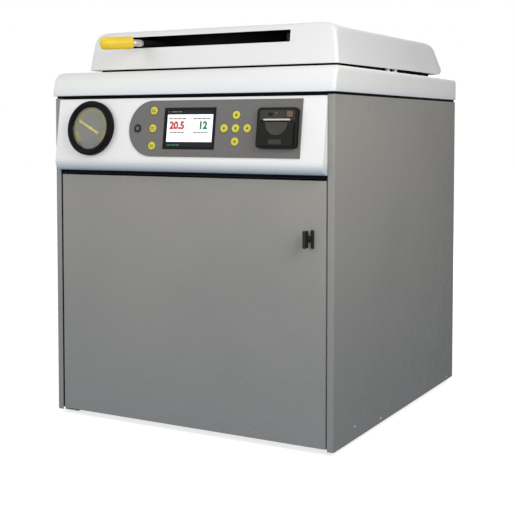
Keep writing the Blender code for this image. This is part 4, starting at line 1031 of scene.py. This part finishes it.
def build_display():
    left, right, half, border = -0.0417, 0.0787, 0.0417, 0.0045
    outer = [(left, -half), (right, -half), (right, half), (left, half)]
    window = block((left + border, -half + border, -0.02), (right - border, half - border, 0.02))
    fascia_piece("display_frame", prism(fillet(outer, 0.0008, 2, True), -0.004, 0.0028), "black_gloss",
                 "display_bezel", edge=0.0006, cuts=[window])
    left, right, half = left + border + FIT, right - border - FIT, half - border - FIT
    panel = rounded_box((left, -half, -0.003), (right, half, 0.0012), 0.0003, 2)
    fascia_piece("display_panel", panel, "screen_dark", "display_screen", edge=0.0001)
    area = rounded_box((-0.0342, -0.027, 0.0013), (0.0722, 0.028, 0.0015), 0.0003, 2)
    fascia_piece("display_lit_area", area, "screen")
    for name, (look, spots) in LABEL_BARS.items():
        fascia_piece(name, bars_mesh(spots), look)
    for name, figures, u, look in (("display_figures_left", "20.5", -0.011, "screen_red"),
                                   ("display_figures_right", "12", 0.05, "screen_green")):
        figure = text_mesh(name, figures, 0.0205, 0.055)
        fascia_piece(name, figure, look, matrix=on_face(u, 0.0055, 0.00165))


DIAL_START, DIAL_SWEEP, DIAL_STEPS = math.radians(225), math.radians(-270), 50


def dial_marks():
    """The scale's marks, the line that they stand on, and two wide bands at its ends."""
    low, high, rim = 0.0054, 0.0056, 0.0402
    end = DIAL_START + DIAL_SWEEP
    marks = []
    for i in range(DIAL_STEPS + 1):
        turn = Matrix.Rotation(DIAL_START + DIAL_SWEEP * i / DIAL_STEPS, 4, "Z")
        inner, half = (0.032, 0.0012) if i % 5 == 0 else (0.0348, 0.0007)
        marks.append(moved(block((inner, -half, low), (0.0398, half, high)), turn))
    line = arc((0, 0), rim + 0.0011, DIAL_START, end, 72) + arc((0, 0), rim, end, DIAL_START, 72)
    marks.append(prism(line, low, high))
    half_angle = 0.275
    for centre in (math.radians(205), math.radians(-25)):
        band = arc((0, 0), 0.039, centre - half_angle, centre + half_angle, 16)
        band += arc((0, 0), 0.0345, centre + half_angle, centre - half_angle, 16)
        marks.append(prism(band, 0.00535, 0.00545))
    return merged(*marks)


def build_gauge():
    place = on_face(GAUGE_CENTRE.x, 0)
    well, outer, depth = 0.0445, 0.057, -0.026
    case = [(0, 0.004), (well, 0.004), (well, 0.0112), (well + 0.0022, 0.0128), (well + 0.0028, 0.0143),
            (0.053, 0.0145), (outer, 0.0108), (outer, FIT), (0.05, FIT), (0.05, depth), (0, depth)]
    fascia_piece("gauge_bezel", spun(case, 0.0012, 4, 128), "bezel_black", "gauge_case",
                 matrix=place)
    face = [(0, 0.0053), (0.0425, 0.0053), (0.0442, 0.005), (0.0442, 0.0043), (0, 0.0043)]
    fascia_piece("gauge_face", lathe(face, 96, False), "dial_grey", replaces="gauge_dial", matrix=place)
    fascia_piece("gauge_marks", dial_marks(), "dial_mark", matrix=place)
    figure_r = 0.0285
    for i in range(6):
        a = DIAL_START + DIAL_SWEEP * i / 5
        figure = text_mesh("gauge_figure", str(i), 0.0068)
        fascia_piece("gauge_figure_%d" % i, figure, "dial_mark",
                     matrix=place @ at(figure_r * math.cos(a), figure_r * math.sin(a), 0.0055))
    build_pointer(place)
    glass = [(0, 0.0112), (0.03, 0.011), (0.0425, 0.0105), (0.044, 0.0101), (0.044, 0.0095), (0, 0.0096)]
    fascia_piece("gauge_window", lathe(glass, 96, False), "glass", replaces="gauge_glass", matrix=place)


def build_pointer(place):
    """The needle with its boss, turned to where it rests."""
    rest_turn = -28
    edge = [(-0.035, 0.0004), (-0.0325, 0.003), (-0.0285, 0.0031), (-0.026, 0.0016), (0, 0.0019),
            (0.016, 0.0021), (0.023, 0.0024)]
    outline = edge + [(x, -y) for x, y in reversed(edge)]
    boss = [(0, 0.0084), (0.0028, 0.0082), (0.0036, 0.0074), (0.0036, 0.006), (0, 0.006)]
    needle = moved(prism(outline, 0.0066, 0.0072), turn_by(rest_turn, "Z"))
    piece("gauge_pointer", needle, "gauge_needle", "needle", "gauge_needle", edge=0.00015,
          matrix=place, joins=[spun(boss, 0.0005, 3, 40)])


PRINTER_LEFT, PRINTER_RIGHT, PRINTER_HALF = 0.1755, 0.2615, 0.039
PRINTER_MIDDLE = (PRINTER_LEFT + PRINTER_RIGHT) / 2


def build_printer():
    """The printer's case, with the band that holds the feed button and the lamp."""
    left, right, half = PRINTER_LEFT, PRINTER_RIGHT, PRINTER_HALF
    body = rounded_box((left, -half, FIT), (right, half, 0.01), 0.0085, 6)
    can = block((left + 0.0045, -half + 0.0045, -0.072), (right - 0.0045, half - 0.0045, 0.001))
    bay = block((left + 0.0105, -0.0315, -0.06), (right - 0.0105, 0.0115, 0.02))
    recess = rounded_box((0.2396, 0.0196, 0.0078), (0.2524, 0.0324, 0.02), 0.0015)
    sink = rounded_box((left + 0.0048, 0.0145, 0.0086), (right - 0.0048, half - 0.0042, 0.02), 0.003)
    fascia_piece("printer_case", body, "printer_dark", "printer_body", edge=0.0008,
                 joins=[can], cuts=[bay, recess, sink])
    panel = rounded_box((left + 0.0052, 0.0149, 0.0087), (right - 0.0052, half - 0.0046, 0.0094), 0.0027)
    hole = rounded_box((0.2394, 0.0194, 0), (0.2526, 0.0326, 0.02), 0.0015)
    lamp_hole = rounded_box((0.1985, 0.0225, 0), (0.2095, 0.029, 0.02), 0.0028)
    fascia_piece("printer_band", panel, "printer_grey", edge=0.0002, cuts=[hole, lamp_hole])
    lens = spun([(0, 0.01), (0.0012, 0.0097), (0.0018, 0.0088), (0, 0.0086)], 0.0003, 2, 32)
    fascia_piece("printer_lamp", lens, "dial_grey", matrix=on_face(0.216, 0.0285))


def build_printer_flap():
    """The paper door, with a ribbed finger scoop and a latch."""
    hinge = JOINTS["printer_door_hinge"]["pos_m"]
    place = on_face(PRINTER_MIDDLE, (Vector(hinge) - FACE.translation).dot(FACE_UP), 0.0118)
    half, height = (PRINTER_RIGHT - PRINTER_LEFT) / 2 - 0.0055, 0.0455
    flap = rounded_box((-half, 0, -0.0015), (half, height, 0.0015), 0.0008, 2)
    scoop = bar((0, height, 0.0001), (0, height, 0.01), 0.0245, 64)
    piece("printer_flap", flap, "printer_door", "printer_dark", "printer_door", edge=0.0004,
          matrix=place, cuts=[scoop])
    dish = arc((0, 0), 0.0241, math.pi, 2 * math.pi, 40)
    ribs = [block((-0.021, -0.0035 - i * 0.0032, 0.0003), (0.021, -0.0026 - i * 0.0032, 0.0007))
            for i in range(3)]
    ribbed = moved(merged(prism(dish, 0.0001, 0.0005), *ribs), at(0, 0.0453, 0))
    piece("printer_scoop", ribbed, "printer_door", "printer_recess", matrix=place)
    latch = rounded_box((-0.0135, 0.0035, 0.0012), (0.0135, 0.0125, 0.0026), 0.0015)
    piece("printer_flap_latch", latch, "printer_door", "printer_grey", edge=0.0004, matrix=place)


def build_paper_end():
    """The end of the paper, which curls up over the door, and the button that feeds it."""
    half, steps = 0.0285, 8
    loops = []
    for i in range(steps + 1):
        v, w = 0.0098 + 0.00085 * i, 0.003 + 0.0085 * math.sin(QUARTER * i / steps)
        behind_v, behind_w = v + 0.00035, w - 0.00015
        loops.append([(-half, v, w), (half, v, w), (half, behind_v, behind_w), (-half, behind_v, behind_w)])
    fascia_piece("printer_paper", rings(loops, True), "paper", matrix=on_face(PRINTER_MIDDLE, 0))
    button = rounded_box((0.24, 0.02, 0.009), (0.252, 0.032, 0.0121), 0.0014)
    piece("printer_button", button, "printer_feed_button", "dull_red", "printer_feed_button",
          edge=0.0005, matrix=FACE)


# ---- latch and lever
def build_latch():
    x, _, z = JOINTS["latch_turn"]["pos_m"]
    upright = at(x, DOOR_LOW.y, z) @ turn_by(90, "X")
    plate = rounded_box((0.0068, -0.0175, FIT), (0.0128, 0.0175, 0.0035), 0.0015)
    piece("latch_plate", plate, "door", "black_plastic", replaces="latch_escutcheon", edge=0.0005,
          matrix=upright)
    collar = [(0, 0.0068), (0.0064, 0.0068), (0.0064, FIT), (0.0055, FIT), (0.0055, -0.013), (0, -0.013)]
    wing = rounded_box((-0.0032, -0.0165, 0.0065), (0.0032, 0.0165, 0.0185), 0.0015)
    grip = bar((-0.01, 0.002, 0.013), (0.01, 0.002, 0.013), 0.0034, 32)
    piece("latch_wing_knob", spun(collar, 0.001, 3, 56), "latch", "black_plastic", replaces="latch_knob",
          edge=0.0006, matrix=upright, joins=[wing], cuts=[grip])


def build_lever():
    """The closing lever: black sleeved bar, steel neck, and a grip that droops a little."""
    level = Matrix.Translation(VESSEL_CENTRE) @ turn_by(-27.5, "Z")
    along = level @ turn_by(90, "X")
    start, end = 0.3315, 0.357
    rod = [(0, start), (0.0056, start), (0.0056, start + 0.004), (0.0072, start + 0.005),
           (0.0072, end - 0.004), (0.0064, end - 0.002), (0.0064, end + 0.003), (0, end + 0.003)]
    piece("lever_neck", spun(rod, 0.0006, 3, 48), "lever", "neck_steel", matrix=along)
    sleeve = [(0, 0.0205), (0.0068, 0.0205), (0.0068, start + 0.001), (0, start + 0.001)]
    hub = fillet([(0.0104, 0.0085), (0.02, 0.0085), (0.02, -0.0065), (0.0104, -0.0065)], 0.001, 3, True)
    foot = rounded_box((-0.011, -0.22, -0.0187), (0.011, -0.2, 0.002), 0.002)
    obj = raw_object("lever_bar", spun(sleeve, 0.0008, 3, 40), level)
    obj.data.transform(turn_by(90, "X"))
    carve(obj, [lathe(hub, 72), foot], "UNION")
    finish_piece(obj, "lever", "black_matt", "lever_arm")
    radius, length, dome_r = 0.0135, 0.074, 0.0085
    grip = [(0, length)]
    grip += [(radius * math.sin(a), length - dome_r + dome_r * math.cos(a)) for a in quarter_turn(9)]
    grip += [(radius - 0.0003, length - 0.04), (radius, 0.01), (radius - 0.0003, 0.0035),
             (radius - 0.0017, 0.001), (0.0092, 0), (0.008, 0.0005), (0.0078, 0.005), (0, 0.005)]
    piece("lever_handle", lathe(grip, 72, False), "lever", "grip_yellow", replaces="lever_grip",
          matrix=along @ at(0, 0, end) @ turn_by(3.4, "X"), angle=50)


# ---- small fixings
def screw_head(radius, height):
    """A domed head with a cross recess, standing along +Z."""
    sunk = -0.0004
    dome = [(0, height)] + [(radius * math.sin(a), height * math.cos(a)) for a in quarter_turn(5)]
    obj = raw_object("head", lathe(dome + [(radius, sunk), (0, sunk)], 24, False))
    long_side, short_side, floor, over = radius * 0.62, radius * 0.16, height * 0.45, height * 2
    carve(obj, [block((-x, -y, floor), (x, y, over))
                for x, y in ((long_side, short_side), (short_side, long_side))])
    bm = bmesh.new()
    bm.from_mesh(obj.data)
    bpy.data.objects.remove(obj, do_unlink=True)
    return bm


def build_screws():
    """Screws low on the side panels, and round the rear panel."""
    side_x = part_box("side_panel_right")[1].x + 0.0001
    rear_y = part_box("rear_panel")[1].y + 0.0001
    heads = []
    for y, z in ((-0.251, 0.033), (-0.115, 0.016), (0.308, 0.016)):
        for side in (1, -1):
            heads.append(moved(screw_head(0.0035, 0.0016), at(side * side_x, y, z) @ turn_by(side * 90, "Y")))
    for x in (-0.3, -0.1, 0.1, 0.3):
        for z in (0.03, 0.66):
            heads.append(moved(screw_head(0.0038, 0.0018), at(x, rear_y, z) @ turn_by(-90, "X")))
    piece("panel_screws", merged(*heads), "cabinet", "steel")


# ---- build
build_camera()
build_studio()
for kept_as, node_names in KEPT.items():
    for node_name in node_names.split():
        keep_node(node_name, *kept_as)
build_hood()
build_hood_gasket()
build_lid_cover()
build_lid_seal()
build_slot_liner()
build_fascia()
build_overlay()
build_keys()
build_display()
build_gauge()
build_printer()
build_printer_flap()
build_paper_end()
build_latch()
build_lever()
build_screws()
